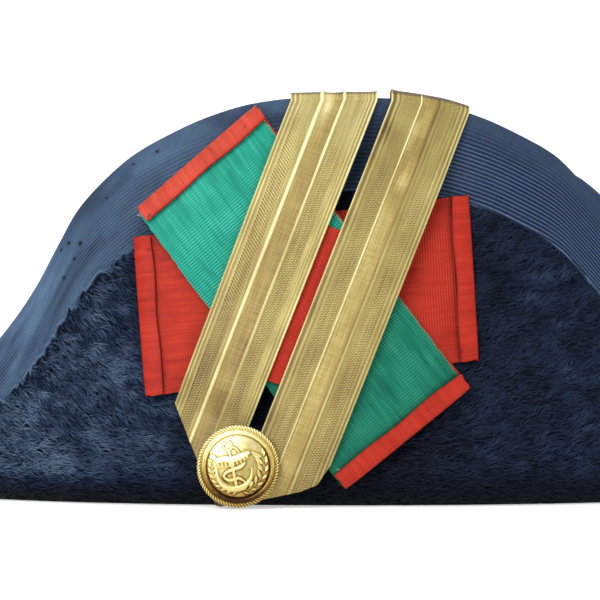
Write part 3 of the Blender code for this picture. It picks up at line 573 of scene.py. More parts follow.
def binding_loop(x, side):
    """The band's section as one closed loop for each x: up the outside face with its cords, over
    the edge as half an ellipse, down the inside, and back along the face against the felt."""
    high = section_run(x, side)
    room = high - roll(x) * BEND
    wide = np.minimum(band_width(x, side) + frayed(x, side), room)
    inside = np.minimum(BINDING_INSIDE, room)
    wear_and_shade = rise(x, -100 * MM, 30 * MM) if side < 0 else 1
    parts, uv, stand = [], [], []

    def row(run, off, over, down, rib=True):
        place, out, _, up = frame_at(x, run, side)
        tall = crest(down, x) if rib else 0.5 + 0 * x
        # the cords are worn flatter at the far left of the front, and everywhere close to the edge
        even = (0.75 + 0.25 * clouds(x, down, 22 * MM, 62)) * (0.6 + 0.4 * wear_and_shade)
        even = even * np.clip((down - 1 * MM) / (8 * MM), 0.3, 1)
        relief = -CORD_DEEP * even * (1 - tall) if rib else 0 * x
        parts.append(place + out * (off + relief)[:, None] + up * over[:, None])
        uv.append(np.stack([x, down], axis=-1) * 1000)
        stand.append(tall)

    full = GAP + BINDING + 0.12 * MM
    edge_off = GAP + 0.55 * MM
    # five rows to a cord, and those past the band's edge squeezed into its last millimetre
    last = 108
    kept = np.floor((wide - 1 * MM) / (CORD / 5))
    for n in range(last, -1, -1):
        near_edge = wide - 1 * MM * (last - n) / np.maximum(last - kept, 1)
        down = np.where(n <= kept, n * CORD / 5, near_edge)
        left_over = wide - down
        thin = rise(left_over, 0, 0.9 * MM)
        off = edge_off + (full - GAP - 0.55 * MM) * np.sqrt(1 - (1 - thin) ** 2)
        off = off + 0.25 * MM * np.clip(1 - left_over / (2.5 * MM), 0, 1) * clouds(x, 0 * x, 6 * MM, 67)
        row(high - down, off, 0 * x, down)
    for turn in np.linspace(0, math.pi, 14)[1:-1]:
        off = -FELT / 2 + (FELT / 2 + full) * math.cos(turn) + 0 * x
        row(high, off, (GAP + BINDING) * math.sin(turn) + 0 * x, 0 * x - turn * 2 * MM)
    for t in np.linspace(0, 1, 14):
        row(high - inside * t, 0 * x - FELT - full, 0 * x, -(7 * MM + inside * t))
    for t in np.linspace(1, 0, 4):
        row(high - inside * t, 0 * x - FELT - GAP * 0.7, 0 * x, -(7 * MM + inside * t), rib=False)
    for turn in np.linspace(math.pi, 0, 6)[1:-1]:
        off = -FELT / 2 + (FELT / 2 + GAP * 0.7) * math.cos(turn) + 0 * x
        row(high, off, GAP * 0.8 * math.sin(turn) + 0 * x, 0 * x, rib=False)
    for t in np.linspace(0, 1, 4):
        row(high - wide * t, GAP * 0.7 + 0 * x, 0 * x, wide * t, rib=False)
    return np.stack(parts, axis=1), np.stack(uv, axis=1), np.stack(stand, axis=1), wide[:, None]


def make_band(name, side, x):
    """The loops joined along the hat, closed at both ends by a flat cut. The tone paints the cords'
    height as light on their tops and shade in their valleys, as clear as they show, and fade is how
    far the sun has bleached them."""
    loops, uv, stand, wide = binding_loop(x, side)
    at, faces = quads(*loops.shape[:2], around=True)
    faces = turned_out(loops.reshape(-1, 3), faces, [at[0, -2::-1].tolist(), at[-1, :-1].tolist()])
    front = side < 0
    down = uv[..., 1] / 1000
    along = x[:, None] + 0 * down
    fade = np.clip(0.5 - along / (110 * MM), 0, 1) if front else 0.3 + 0 * down
    wear_and_shade = 0.40 * clouds(along, 1.6 * down, 16 * MM, 63) + 0.25 * clouds(along, 1.6 * down, 5 * MM, 68)
    mottled = fade * wear_and_shade
    rubbed = bell(down, 0, 7 * MM) * rise(along, 0, 30 * MM) * front
    fade = np.clip(fade + wear_and_shade * (0.35 + 0.65 * fade) + 0.5 * rubbed, 0, 1)
    # the contrast of the cords' painted light and shade: none where the band turns over the edge, full in
    # its lower two thirds
    clear = np.clip((down - 3 * MM) / (9 * MM), 0.05, 1) * (1 - 0.70 * fade)
    # painted shade on the band between the lace's legs, which also dims its cords
    shaded = bell(along, 7 * MM, 8 * MM) * front
    clear = clear * (1 - 0.5 * shaded)
    tone = 0.5 + (stand - 0.5) * clear + 0.40 * mottled - 0.12 * shaded
    tone += np.clip(1 - np.abs(wide - down - 0.6 * MM) / (0.6 * MM), 0, 1) * 0.20
    tone -= np.clip(1 - np.abs(wide - down - 1.8 * MM) / (0.5 * MM), 0, 1) * 0.16
    tone += 0.16 * rise(along, -84 * MM, -14 * MM) * front
    if front:
        for hx, hz, half in HOLES * MM:
            tone -= 1.3 * bell(loops[..., 0], hx, half) * bell(loops[..., 2], hz, 1.2 * half) * (down > 0)
    piece = made(name, loops.reshape(-1, 3), faces, grosgrain, "grosgrain",
                 uv=uv.reshape(-1, 2), tone=np.clip(tone, 0, 1), fade=fade)
    return piece


# Silk grosgrain: matt navy, its cords painted pale and its valleys dark as light and shade on
# the relief, and fine warp threads across the cords; slate and mottled where the sun has faded it.
grosgrain, tree, shader = begun("navy silk grosgrain")
tone, fade = (
    node(tree, "ShaderNodeAttribute", attribute_name=name).outputs["Fac"] for name in ("tone", "fade")
)
# warp threads 0.45 mm apart, drawn as streaks across the cords
cloth = node(tree, "ShaderNodeUVMap", uv_map="cloth")
fine = node(tree, "ShaderNodeMapping", {"Vector": cloth, "Scale": (2.2, 0.5, 1)})
threads = node(tree, "ShaderNodeTexNoise", {"Vector": fine, "Scale": 1.0, "Detail": 3.0})
fresh, faded = (
    dyed(node(tree, "ShaderNodeValToRGB", (tone,)), zip((0, 0.5, 1), codes))
    for codes in (("#0a1120", "#1f2d47", "#536c92"), ("#0b101b", "#394c64", "#5b7693"))
)
colour = node(tree, "ShaderNodeMix", {0: fade, 6: fresh, 7: faded}, data_type="RGBA")
mottle = node(
    tree, "ShaderNodeMix", {0: 0.45, 6: colour.outputs[2], 7: threads.outputs["Color"]},
    data_type="RGBA", blend_type="OVERLAY",
)
fill(tree, shader, {
    "Base Color": mottle.outputs[2], "Roughness": 0.75, "Specular IOR Level": 0.2,
    "Normal": node(tree, "ShaderNodeBump", {"Height": threads, "Strength": 0.5, "Distance": 0.00025}),
})

# the sections are close where the front band is frayed, and wider apart towards the tips
apart = np.where(EDGE_X < -0.2 * HALF, 0.62, 1.0) * MM
count = np.concatenate([[0], np.cumsum(np.diff(EDGE_RUN) / apart[1:])])
near = np.interp(np.arange(*np.interp([-118 * MM, 84 * MM], EDGE_X, count)), count, EDGE_X)
x = [np.linspace(-BAND_HALF, near[0], 44)[:-1], near, np.linspace(near[-1], BAND_HALF, 54)[1:]]
front_band = make_band("front_band", -1, np.concatenate(x))
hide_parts("front_binding")
part = np.linspace(-1, 1, 150)
x = BAND_HALF * np.sign(part) * (0.75 * np.abs(part) + 0.25 * np.sin(np.abs(part) * math.pi / 2))
back_band = make_band("back_band", 1, x)
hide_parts("back_binding")


# The cockade: two ribbons of red and green watered silk laid across each other and sewn to the
# flap. Their ends are turned over as hems, and those of the green one are covered by a red
# ribbon behind it, carried round to the front. A short red piece covers the crossing.
COCKADE = np.array([-13, 65]) * MM
CLOTH = 0.30 * MM  # half the thickness of a ribbon
LAYER = 1.28 * MM  # from one ribbon to the next
BASE = 1.58 * MM  # from the flap to the first one's back
LIFT = BASE + 0.5 * MM  # and to the back of those that lie over its hems
HEM = 5.5 * MM  # how much of an end is turned over
# each ribbon: its middle from the cockade's in mm, slope, length, widths and the ends' turns
RED = ((0.8, 0.3), 6.7, 105.9, (50, 52), (-1.3, -4.3))
BACKING = ((-1.0, 0.8), -53.1, 110.8, (50, 49.5), (4.4, 1.5))
GREEN = ((-1.48, 0.44), -53.1, 107.6, (50, 49.5), (4.4, 1.5))
PATCH = ((-0.6, -2.0), 68.5, 52, (44, 44), (0, 0))


def on_flap(x, z, level):
    """Laid on the front flap at a distance off it; below the fold it hangs straight down."""
    height = np.maximum(z, underside(x) + roll(x))
    return np.stack([x, -face(x, height) - level / math.cos(LEAN), z], axis=-1)


def laid(strip, along, across):
    """A ribbon seen from the front: straight lines joined from its start to its end, each turned
    a little from square to its slope."""
    middle, slope, length, widths, turns = strip
    slope = math.radians(slope)
    run = np.array([math.cos(slope), math.sin(slope)])
    ends = []
    for sign, width, turn in zip((-1, 1), widths, turns):
        upright = slope + math.pi / 2 + math.radians(turn)
        centre = COCKADE + np.array(middle) * MM + sign * length / 2 * MM * run
        square = np.array([math.cos(upright), math.sin(upright)])
        ends.append(centre + width * MM * across[..., None] * square)
    near = (0.5 - along / (length * MM))[..., None]
    place = near * ends[0] + (1 - near) * ends[1]
    return place[..., 0], place[..., 1]


def turned_path(half, low, high, step=0.2 * MM):
    """The line of a hemmed ribbon as distances along it and off the flap: the hem above, puffed by
    a sine, half a circle down round the end, the long run below, and the same up again at the
    other end. The third column is 1 on the hems."""
    bend = (high - low) / 2
    hem = np.arange(HEM, bend, -step)
    puff = high + 0.45 * MM * np.sin(np.pi * hem / HEM) + 0.30 * MM * np.exp(-(HEM - hem) / (0.8 * MM))
    turn = np.linspace(math.pi / 2, 3 * math.pi / 2, 9)[1:-1]
    first = np.stack([-half + hem, puff, 1 + 0 * hem], axis=1)
    low_turn = low + bend + bend * np.sin(turn)
    round_it = np.stack([-half + bend + bend * np.cos(turn), low_turn, 1 + 0 * turn], axis=1)
    main = np.linspace(-half + bend, half - bend, round(2 * half / step))
    main = np.stack([main, low + 0 * main, 0 * main], axis=1)
    right = np.concatenate([first, round_it]) * (-1, 1, 1)
    return np.concatenate([first, round_it, main, right[::-1]])


def straight_path(length, level, step=0.2 * MM):
    """The same for a ribbon without hems: one run at one distance off the flap."""
    along = np.arange(-length / 2 * MM, length / 2 * MM, step)
    return np.stack([along, level + 0 * along, 0 * along], axis=1)


def ribbon(name, strip, path, silk, hem_at, light, ribs, columns=13):
    """A ribbon along a path: each row lies across it, its selvedges toothed by the ribs as
    |sin(pi length / pitch)|, its face a little wavy, and half the cloth's thickness to each side.
    Painted shade lies beside the hems that lie on it, and painted light falls off from its left to
    its right, as from the two lamps; ribs says how clear its ribs are at five places evenly spaced along it."""
    cloth, finish, pitch = silk
    along, level, hem = path.T
    length = np.concatenate([[0], np.cumsum(np.hypot(np.diff(along), np.diff(level)))])
    share = np.linspace(-0.5, 0.5, columns)
    width = strip[3][0] * MM
    tooth = 0.16 * MM / width * np.abs(np.sin(np.pi * length / pitch))
    ragged = (0.16 + 0.16 * hem) * MM / width * clouds(length, 0 * length, 1.7 * MM, 71)
    across = share[None, :] * (1 + 2 * (tooth + ragged))[:, None]
    # the hems' inner edges wander, as they were turned in by hand
    sway = clouds(across * width, 0 * across, 13 * MM, 75)
    inner = np.clip(1 - np.abs(np.abs(along) - hem_at) / (3.5 * MM), 0, 1) * hem
    reach = along[:, None] - np.sign(along)[:, None] * inner[:, None] * (0.35 * MM * sway + 0.1 * MM)
    x, z = laid(strip, reach, across)
    wave = 0.10 * MM * clouds(x, z, 9 * MM, 72) + 0.05 * MM * clouds(x, z, 3 * MM, 73)
    wave = wave + hem[:, None] * 0.10 * MM * clouds(x, z, 2.6 * MM, 76)
    curl = 0.25 * MM * (np.abs(share) * 2)[None, :] ** 8 * clouds(x, z, 7 * MM, 74)
    grid = on_flap(x, z, level[:, None] + wave + curl)
    out = normals(grid) * CLOTH * (1 - 0.6 * (np.abs(share) * 2) ** 10)[None, :, None]
    uv = np.stack(np.broadcast_arrays(length[:, None], share[None, :] * width), axis=-1) * 1000
    # painted shadow beside each hem and along a hem's inner edge; the hem at the left stands in the light,
    # so little shadow is painted beside it
    past = np.abs(along) - hem_at
    hem_shadow = (1 - hem) * np.exp(-(-past).clip(0) / (0.8 * MM)) * np.where(along < 0, 0.15, 0.62)
    hem_shadow = np.where(hem > 0, 0.55 * np.exp(-past.clip(0) / (0.35 * MM)), hem_shadow)
    shade = np.interp(along, np.array([-0.15, 0.2]) * width, light) * (1 - hem_shadow)
    clear = np.interp(along, np.linspace(along.min(), along.max(), 5), ribs)
    piece = made(
        name, *wall_of(grid + out, grid - out), cloth, finish, uv=np.tile(uv.reshape(-1, 2), (2, 1)),
        shade=np.tile(np.repeat(shade, columns), 2), hem=np.tile(np.repeat(hem, columns), 2),
        clear=np.tile(np.repeat(clear, columns), 2),
    )
    return piece


def watered_silk(name, tints, pitch, seed, rib, selvedge=None):
    """Ribbed silk with a soft gloss: thin furrows between ribs across the ribbon, painted dark as shade
    with lighter crests, and the watering, pressed streaks along it where the ribs lie flat. The
    pattern runs along the ribbon by the first number of its map and across it by the second, in mm;
    rib is how strongly the furrows' painted shade is drawn, and selvedge the colour of the thread along one
    edge."""
    silk, tree, shader = begun(name)
    cloth = node(tree, "ShaderNodeUVMap", uv_map="cloth")
    along, across, _ = node(tree, "ShaderNodeSeparateXYZ", (cloth,)).outputs
    known = {"along": along, "across": across}
    for label, attribute in (("hem", "hem"), ("shade", "shade"), ("raked", "clear")):
        known[label] = node(tree, "ShaderNodeAttribute", attribute_name=attribute).outputs["Fac"]
    # broad streaks 2 mm wide and 20 mm long, and fine ones 0.4 mm wide
    for label, wide, long in (("water", 0.50, 0.05), ("fine", 2.6, 0.08)):
        place = {0: cloth, "Location": (seed, seed, 0), "Scale": (long, wide, 1)}
        place = node(tree, "ShaderNodeMapping", place)
        known[label] = node(
            tree, "ShaderNodeTexNoise", {0: place, "Scale": 1.0, "Detail": 3.0, "Roughness": 0.6})
    known["patchy"] = node(tree, "ShaderNodeTexNoise", {0: cloth, "Scale": 0.07, "Detail": 2.0})
    # the thread that binds the edge shows between every two ribs
    rim = (
        ("rim", "MULTIPLY", "along", 2 * math.pi / 1.0),
        ("rim", "SINE", "rim"),
        ("rim", "GREATER_THAN", "rim", 0.35),
        ("border", "GREATER_THAN", "across", 24.5),
        ("rim", "MULTIPLY", "border", "rim"),
    )
    # each row names a result, the operation, and its values: numbers or earlier results
    for label, operation, *values in (
        # the ribs' painted light and shade show where the watering left them and the light rakes them, and
        # less on the hems
        ("wet", "MULTIPLY_ADD", "patchy", 0.7, "water"),
        ("clear", "MULTIPLY_ADD", "wet", 0.75 / 0.28, 0.25 - 0.72 * 0.75 / 0.28),
        ("clear", "MAXIMUM", "clear", 0.25),
        ("clear", "MINIMUM", "clear", 1.0),
        ("pressed", "MULTIPLY_ADD", "hem", -0.70, 1.0),
        ("clear", "MULTIPLY", "clear", "pressed"),
        ("clear", "MULTIPLY", "clear", "raked"),
        ("uneven", "ADD", "water", "fine"),
        ("wave", "MULTIPLY_ADD", "uneven", 0.5, "along"),
        ("wave", "MULTIPLY", "wave", 2 * math.pi / pitch),
        ("wave", "SINE", "wave"),
        ("relief", "MULTIPLY", "wave", "clear"),
        ("furrow", "MULTIPLY_ADD", "wave", -1 / 0.7, -0.1 / 0.7),
        ("furrow", "MAXIMUM", "furrow", 0.0),
        ("furrow", "MINIMUM", "furrow", 1.0),
        # both kinds of streak are faint on the hems, which are pressed smooth, and on clear ribs
        ("smooth", "MULTIPLY_ADD", "hem", -0.12, 0.66),
        ("calm", "MULTIPLY_ADD", "clear", -0.45, 1.0),
        ("smooth", "MULTIPLY", "smooth", "calm"),
        ("thin", "SUBTRACT", "fine", 0.5),
        ("tone", "MULTIPLY_ADD", "thin", "smooth", 0.5),
        ("broad", "ADD", "water", "patchy"),
        ("broad", "SUBTRACT", "broad", 1.0),
        ("tone", "MULTIPLY_ADD", "broad", "smooth", "tone"),
        # painted shade in the furrows, and painted light on the ribs' crests
        ("cut", "MULTIPLY_ADD", "furrow", -0.75 * rib, 0.26 * rib),
        ("tone", "MULTIPLY_ADD", "cut", "clear", "tone"),
        ("tone", "MULTIPLY_ADD", "hem", -0.03, "tone"),
        # painted highlight: silk that faces the lamp is given a paler shine
        ("pale", "MAXIMUM", "shade", 1.0),
        ("pale", "POWER", "pale", 2.5),
        ("green", "MULTIPLY", "shade", "pale"),
        ("blue", "POWER", "shade", 1.2),
        ("blue", "MULTIPLY", "blue", "pale"),
        *(rim if selvedge else ()),
    ):
        values = [known.get(value, value) for value in values]
        known[label] = node(tree, "ShaderNodeMath", values, operation=operation)
    colour = dyed(node(tree, "ShaderNodeValToRGB", (known["tone"],)), zip((0, 0.5, 1), tints)).outputs[0]
    if selvedge:
        mixed = {0: known["rim"], 6: colour, 7: linear(selvedge)}
        colour = node(tree, "ShaderNodeMix", mixed, data_type="RGBA").outputs[2]
    dim = node(tree, "ShaderNodeCombineColor", [known[label] for label in ("shade", "green", "blue")])
    lit = node(tree, "ShaderNodeMix", {0: 1.0, 6: colour, 7: dim}, data_type="RGBA", blend_type="MULTIPLY")
    relief = {"Height": known["relief"], "Strength": 0.5, "Distance": 0.0002}
    fill(tree, shader, {
        "Base Color": lit.outputs[2], "Normal": node(tree, "ShaderNodeBump", relief),
        "Roughness": 0.45, "Specular IOR Level": 0.09,
    })
    return silk


# Scarlet silk, ribs 0.86 mm apart: clear orange red where they lie flat, dark red painted in the furrows as
# shade.
scarlet = watered_silk("scarlet watered silk", ("#64100c", "#ac2c1f", "#e04a35"), 0.86, 3.0, rib=0.30)
# Emerald silk, ribs 0.92 mm apart: bluish green with a painted pale shine, deep green painted in the furrows
# as shade.
emerald = watered_silk(
    "emerald watered silk", ("#054c40", "#1d917b", "#4fcbb0"), 0.92, 17.0, rib=0.80, selvedge="#a88a66",
)
SCARLET, EMERALD = (scarlet, "red_silk", 0.86 * MM), (emerald, "green_silk", 0.92 * MM)
EVEN = (1, 1, 1, 1, 1)

red_ribbon = ribbon(
    "red_silk_ribbon", RED, turned_path(RED[2] / 2 * MM, BASE + 0.35 * MM, BASE + 1.45 * MM), SCARLET,
    RED[2] / 2 * MM - HEM, light=(0.97, 0.97), ribs=(0.3, 0.7, 1, 1.3, 1.3),
)
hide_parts("red_ribbon")
backing = ribbon(
    "red_silk_backing", BACKING, turned_path(BACKING[2] / 2 * MM, LIFT + LAYER, LIFT + 3 * LAYER), SCARLET,
    BACKING[2] / 2 * MM - HEM, light=(1.27, 0.93), ribs=EVEN,
)
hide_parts("red_backing")
green_ribbon = ribbon(
    "green_silk_ribbon", GREEN, straight_path(GREEN[2], LIFT + 2 * LAYER), EMERALD,
    BACKING[2] / 2 * MM - HEM, light=(1.0, 0.53), ribs=(0.05, 1.0, 1.3, 0.6, 0.35),
)
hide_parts("green_ribbon")
patch = ribbon(
    "red_silk_patch", PATCH, straight_path(PATCH[2], LIFT + 3 * LAYER), SCARLET,
    90 * MM, light=(0.95, 0.95), ribs=EVEN,
)
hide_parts("red_patch")


# Stitches and thread ends: the silk thread that tacks the cockade's hems down. It shows as a small
# loop or a cut end here and there, most of them red and two pale.
THREADS = (  # x and z on the flap, length, slope in degrees, distance off the flap, red or pale: mm
    (-56.6, 40.8, 1.0, 60, 2.9, 0), (-57.0, 37.6, 1.2, -50, 2.7, 0), (-62.4, 80.2, 0.8, 30, 3.9, 0),
    (-62.2, 91.2, 1.2, 60, 6.4, 0), (-65.6, 91.2, 1.3, -25, 4.6, 1), (-2.4, 12.0, 1.2, 35, 4.6, 1),
    (36.3, 48.4, 1.0, -30, 3.9, 0), (33.0, 94.4, 1.1, 70, 3.9, 0), (-31.8, 119.6, 1.3, 40, 6.3, 0),
)
THREAD = 0.13 * MM  # half its thickness


def make_threads(name, pale, cloth, code, finish):
    """Each thread is an arc: a tube whose middle stands 0.5 mm above its ends."""
    places, faces = [], []
    t = np.linspace(0, 1, 9)
    turn = np.linspace(0, 2 * np.pi, 7)[:-1]
    for x, z, long, slope, level, kind in THREADS:
        if kind != pale:
            continue
        run = np.array([math.cos(math.radians(slope)), math.sin(math.radians(slope))]) * long * MM
        line = np.array([x, z]) * MM + (t[:, None] - 0.5) * run
        middle = on_flap(line[:, 0], line[:, 1], (level + 0.5 * np.sin(np.pi * t)) * MM)
        side = np.array([-run[1], 0, run[0]]) / np.hypot(*run)
        ring = np.cos(turn)[:, None] * side + np.sin(turn)[:, None] * np.array([0, -1, 0])
        at, tube = (part + sum(len(p) for p in places) for part in quads(len(t), len(turn), around=True))
        places.append((middle[:, None] + ring[None] * THREAD).reshape(-1, 3))
        faces += tube.tolist() + [at[0, -2::-1].tolist(), at[-1, :-1].tolist()]
    # twisted silk thread: one even colour, hardly shiny
    silk, tree, shader = begun(cloth)
    fill(tree, shader, {"Base Color": linear(code), "Roughness": 0.6})
    return made(name, np.concatenate(places), faces, silk, finish)


make_threads("red_stitches", 0, "dark red silk thread", "#5a0f10", "red_silk")
make_threads("thread_ends", 1, "pale silk thread", "#b9a59a", "green_silk")


# The lace loop: one strip of woven gold lace 24.5 mm wide, folded over the flap's edge, brought
# down, folded behind the button and taken up again beside itself. Its pattern across is a fine
# selvedge, a twilled band, a raised cord, a satin middle, and the same again.
LACE = 24.5 * MM
THICK = 0.4 * MM  # half of it
LACE_LEVEL = BASE + 4 * LAYER
BUTTON = np.array([-33.2, 12.8]) * MM
BUTTON_WIDE = 25 * MM
OVER = 14 * MM  # how far the tails reach down behind the flap
# a leg: its foot from the button and its head from the cockade, its widths there, in mm
LEFT_LEG = ((-8.7, 14.8), 9.8, 24.0, 26.0)
RIGHT_LEG = ((17.6, 5.2), 41.0, 23.6, 24.8)
# the outer edge round the button, with the strip's folded tip at its lower left: shares of its
# width right of and above it, and of the level
TURNS = np.array(
    [[-0.52, 0.09, 0.56], [-0.37, -0.24, 0.60], [-0.28, -0.485, 0.62], [-0.20, -0.50, 0.64],
     [0.02, -0.42, 0.66], [0.37, -0.39, 0.72], [0.77, -0.30, 0.82], [0.97, -0.22, 0.82]]
)
# how far each leg stands off the flap from its foot to its head, as shares of the level
DRAPE_AT = np.array([0, 0.10, 0.78, 0.89, 1])
DRAPE_LEFT = np.array([0.56, 1, 1, 0.86, 0.24])
DRAPE_RIGHT = np.array([0.88, 1, 1, 0.60, 0.24])


def leg_places(leg, drape, shares, rows=96):
    """A leg as seen from the front, foot to head, ruled from one width to the other, its head
    trimmed to the flap's edge; the levels off the flap follow the drape's table."""
    foot = BUTTON + np.array(leg[0]) * MM
    top = COCKADE[0] + leg[1] * MM
    head = np.array([top, edge(np.array(top))])
    run = head - foot
    side = np.array([run[1], -run[0]]) / np.hypot(*run)
    low = foot + np.multiply.outer((shares - 0.5) * leg[2] * MM, side)
    high = head + np.multiply.outer((shares - 0.5) * leg[3] * MM, side)
    slant = (high[:, 0] - low[:, 0]) / (high[:, 1] - low[:, 1])
    rim = edge(high[:, 0])
    high = np.stack([high[:, 0] + (rim - high[:, 1]) * slant, rim], axis=1)
    t = np.linspace(0, 1, rows)
    place = low[None] + t[:, None, None] * (high - low)[None]
    level = LACE_LEVEL * eased(DRAPE_AT, drape, t)
    return place, np.broadcast_to(level[:, None], place.shape[:2]), foot, run, side


def weave(v, left, up):
    """The relief across the lace and its lines' shade, v from 0 at the outer edge to 1: selvedges
    of fine ridges, a cord (1 - (distance / half its width)^2)^0.5 at 0.365 and at 0.622, and the
    satin sagging between them. The cords stand fuller on the left leg, where left is 1, and are
    painted light as they catch the lamp; up goes from 0 at a leg's foot to 1 at its head."""
    high, tone = 0 * v, 0 * v
    both, right = 1, 1 - left
    for at, full, small, foot in ((0.365, 0.026, 0.013, 0.8), (0.622, 0.018, 0.012, 0.3)):
        half = small + (full - small) * left
        # their painted glint: on the left leg it dulls towards the foot, and on the right one the first
        # cord's dulls upwards
        glint = left * (foot + (1 - foot) * up) + right * (1.2 if at > 0.5 else 0.65 - 0.60 * up)
        body = np.sqrt(np.clip(1 - ((v - at) / half) ** 2, 0, 1))
        high = high + (0.20 + 0.22 * left) * MM * body * np.minimum(glint + 0.1, 1)
        tone = tone + 0.46 * (0.75 + 0.25 * left) * np.minimum(1.6 * body, 1) * glint
    satin = rise(v, 0.385, 0.015) * rise(v, 0.605, -0.015)
    high = high - (0.06 + 0.16 * left) * MM * satin * np.sin(np.pi * rise(v, 0.38, 0.23))
    # lines along the lace, ridges painted light and grooves painted dark as shade: where, half the width,
    # how light, and on which leg
    for at, half, bright, leg in (
        (0.006, 0.010, 0.20, both), (0.035, 0.008, -0.20, both), (0.055, 0.010, 0.22, both),
        (0.080, 0.007, -0.14, both), (0.115, 0.008, 0.12, both), (0.335, 0.008, -0.06, both),
        (0.870, 0.007, 0.14, both), (0.905, 0.008, 0.18, left), (0.945, 0.008, 0.20, left),
        (0.925, 0.006, -0.14, left), (0.965, 0.006, -0.20, left), (0.990, 0.010, 0.34, both),
        (0.392, 0.016, -0.15, right), (0.955, 0.018, -0.20, right), (0.915, 0.012, 0.16, right),
        (0.882, 0.010, -0.12, right), (0.845, 0.006, 0.10, both), (0.135, 0.006, -0.08, both),
    ):
        line = bell(v, at, half) * leg
        tone = tone + bright * line
        high = high + 0.25 * MM * bright * line
    outer = rise(v, 0.115, 0.01) * rise(v, 0.300, -0.02)
    inner = rise(v, 0.645, 0.01) * rise(v, 0.84, -0.01)
    return high, tone, satin, outer, inner


def lace_strip():
    """The strip as a grid: the tail behind the flap, the fold over its edge, the left leg down, the
    fan round the button, the right leg up, the fold and the other tail. The pattern runs straight
    down each leg into the slanting folds at the bottom, and turns where the button hides it."""
    shares = np.linspace(0, 1, 113)
    left, left_level, *left_way = leg_places(LEFT_LEG, DRAPE_LEFT, shares)
    right, right_level, *right_way = leg_places(RIGHT_LEG, DRAPE_RIGHT, shares[::-1])
    left, left_level = left[::-1], left_level[::-1]
    start, end = left[-1], right[0]
    outer = np.concatenate([start[:1], BUTTON + TURNS[:, :2] * BUTTON_WIDE, end[:1]])
    knots = np.arange(len(outer))
    levels = np.concatenate([[left_level[-1, 0]], TURNS[:, 2] * LACE_LEVEL, [right_level[0, 0]]])
    # the rows come close round the folded tip, and are few behind the button
    at = [np.linspace(0, 2.4, 62)[1:], np.linspace(2.6, 5.4, 8), np.linspace(5.5, 9, 44)[:-1]]
    at = np.concatenate(at)
    rim = np.stack([np.interp(at, knots, outer[:, k]) for k in (0, 1)], axis=1)
    inner = start[-1] + np.clip(at / 5 - 0.5, 0, 1)[:, None] * (end[-1] - start[-1])
    inner[:, 1] -= 1.2 * MM * np.sin(np.pi * at / knots[-1])
    fan = rim[:, None] + shares[None, :, None] * (inner - rim)[:, None]
    fan_level = np.broadcast_to(np.interp(at, knots, levels)[:, None], fan.shape[:2])
    level = np.concatenate([left_level, fan_level, right_level])

    def own(place, leg, foot, run, side):
        """How far across and along its leg a place lies."""
        return 0.5 + ((place - foot) @ side) / (leg[2] * MM), ((place - foot) @ run) / np.hypot(*run)

    before = at < 5.1
    v_left, u_left = own(np.concatenate([left, fan[before]]), LEFT_LEG, *left_way)
    v_right, u_right = own(np.concatenate([fan[~before], right]), RIGHT_LEG, *right_way)
    v_left[: len(left)], v_right[-len(right):] = shares, 1 - shares
    v = np.concatenate([v_left, 1 - v_right])
    is_left = np.concatenate([1 + 0 * u_left[:, 0], 0 * u_right[:, 0]])
    u = np.concatenate([-u_left, u_right])
    return np.concatenate([left, fan, right]), level, np.clip(v, 0, 1), u, is_left


def over_edge(x, level, lift):
    """The fold over the flap's edge and the tail behind it: half an ellipse round the bound felt,
    raised a little more by lift, then straight down the inside off the binding."""
    run = section_run(x)
    rows = []
    for turn in np.linspace(0, math.pi, 22)[1:]:
        place, out, _, up = frame_at(x, run, -1)
        off = -FELT / 2 + (FELT / 2 + level) * math.cos(turn)
        rows.append(place + out * off[:, None] + up * ((level * 0.9 + lift) * math.sin(turn))[:, None])
    for down in np.linspace(0, OVER, 7)[1:]:
        place, out, _, _ = frame_at(x, run - down, -1)
        rows.append(place + out * (-FELT - level)[:, None])
    return np.array(rows)


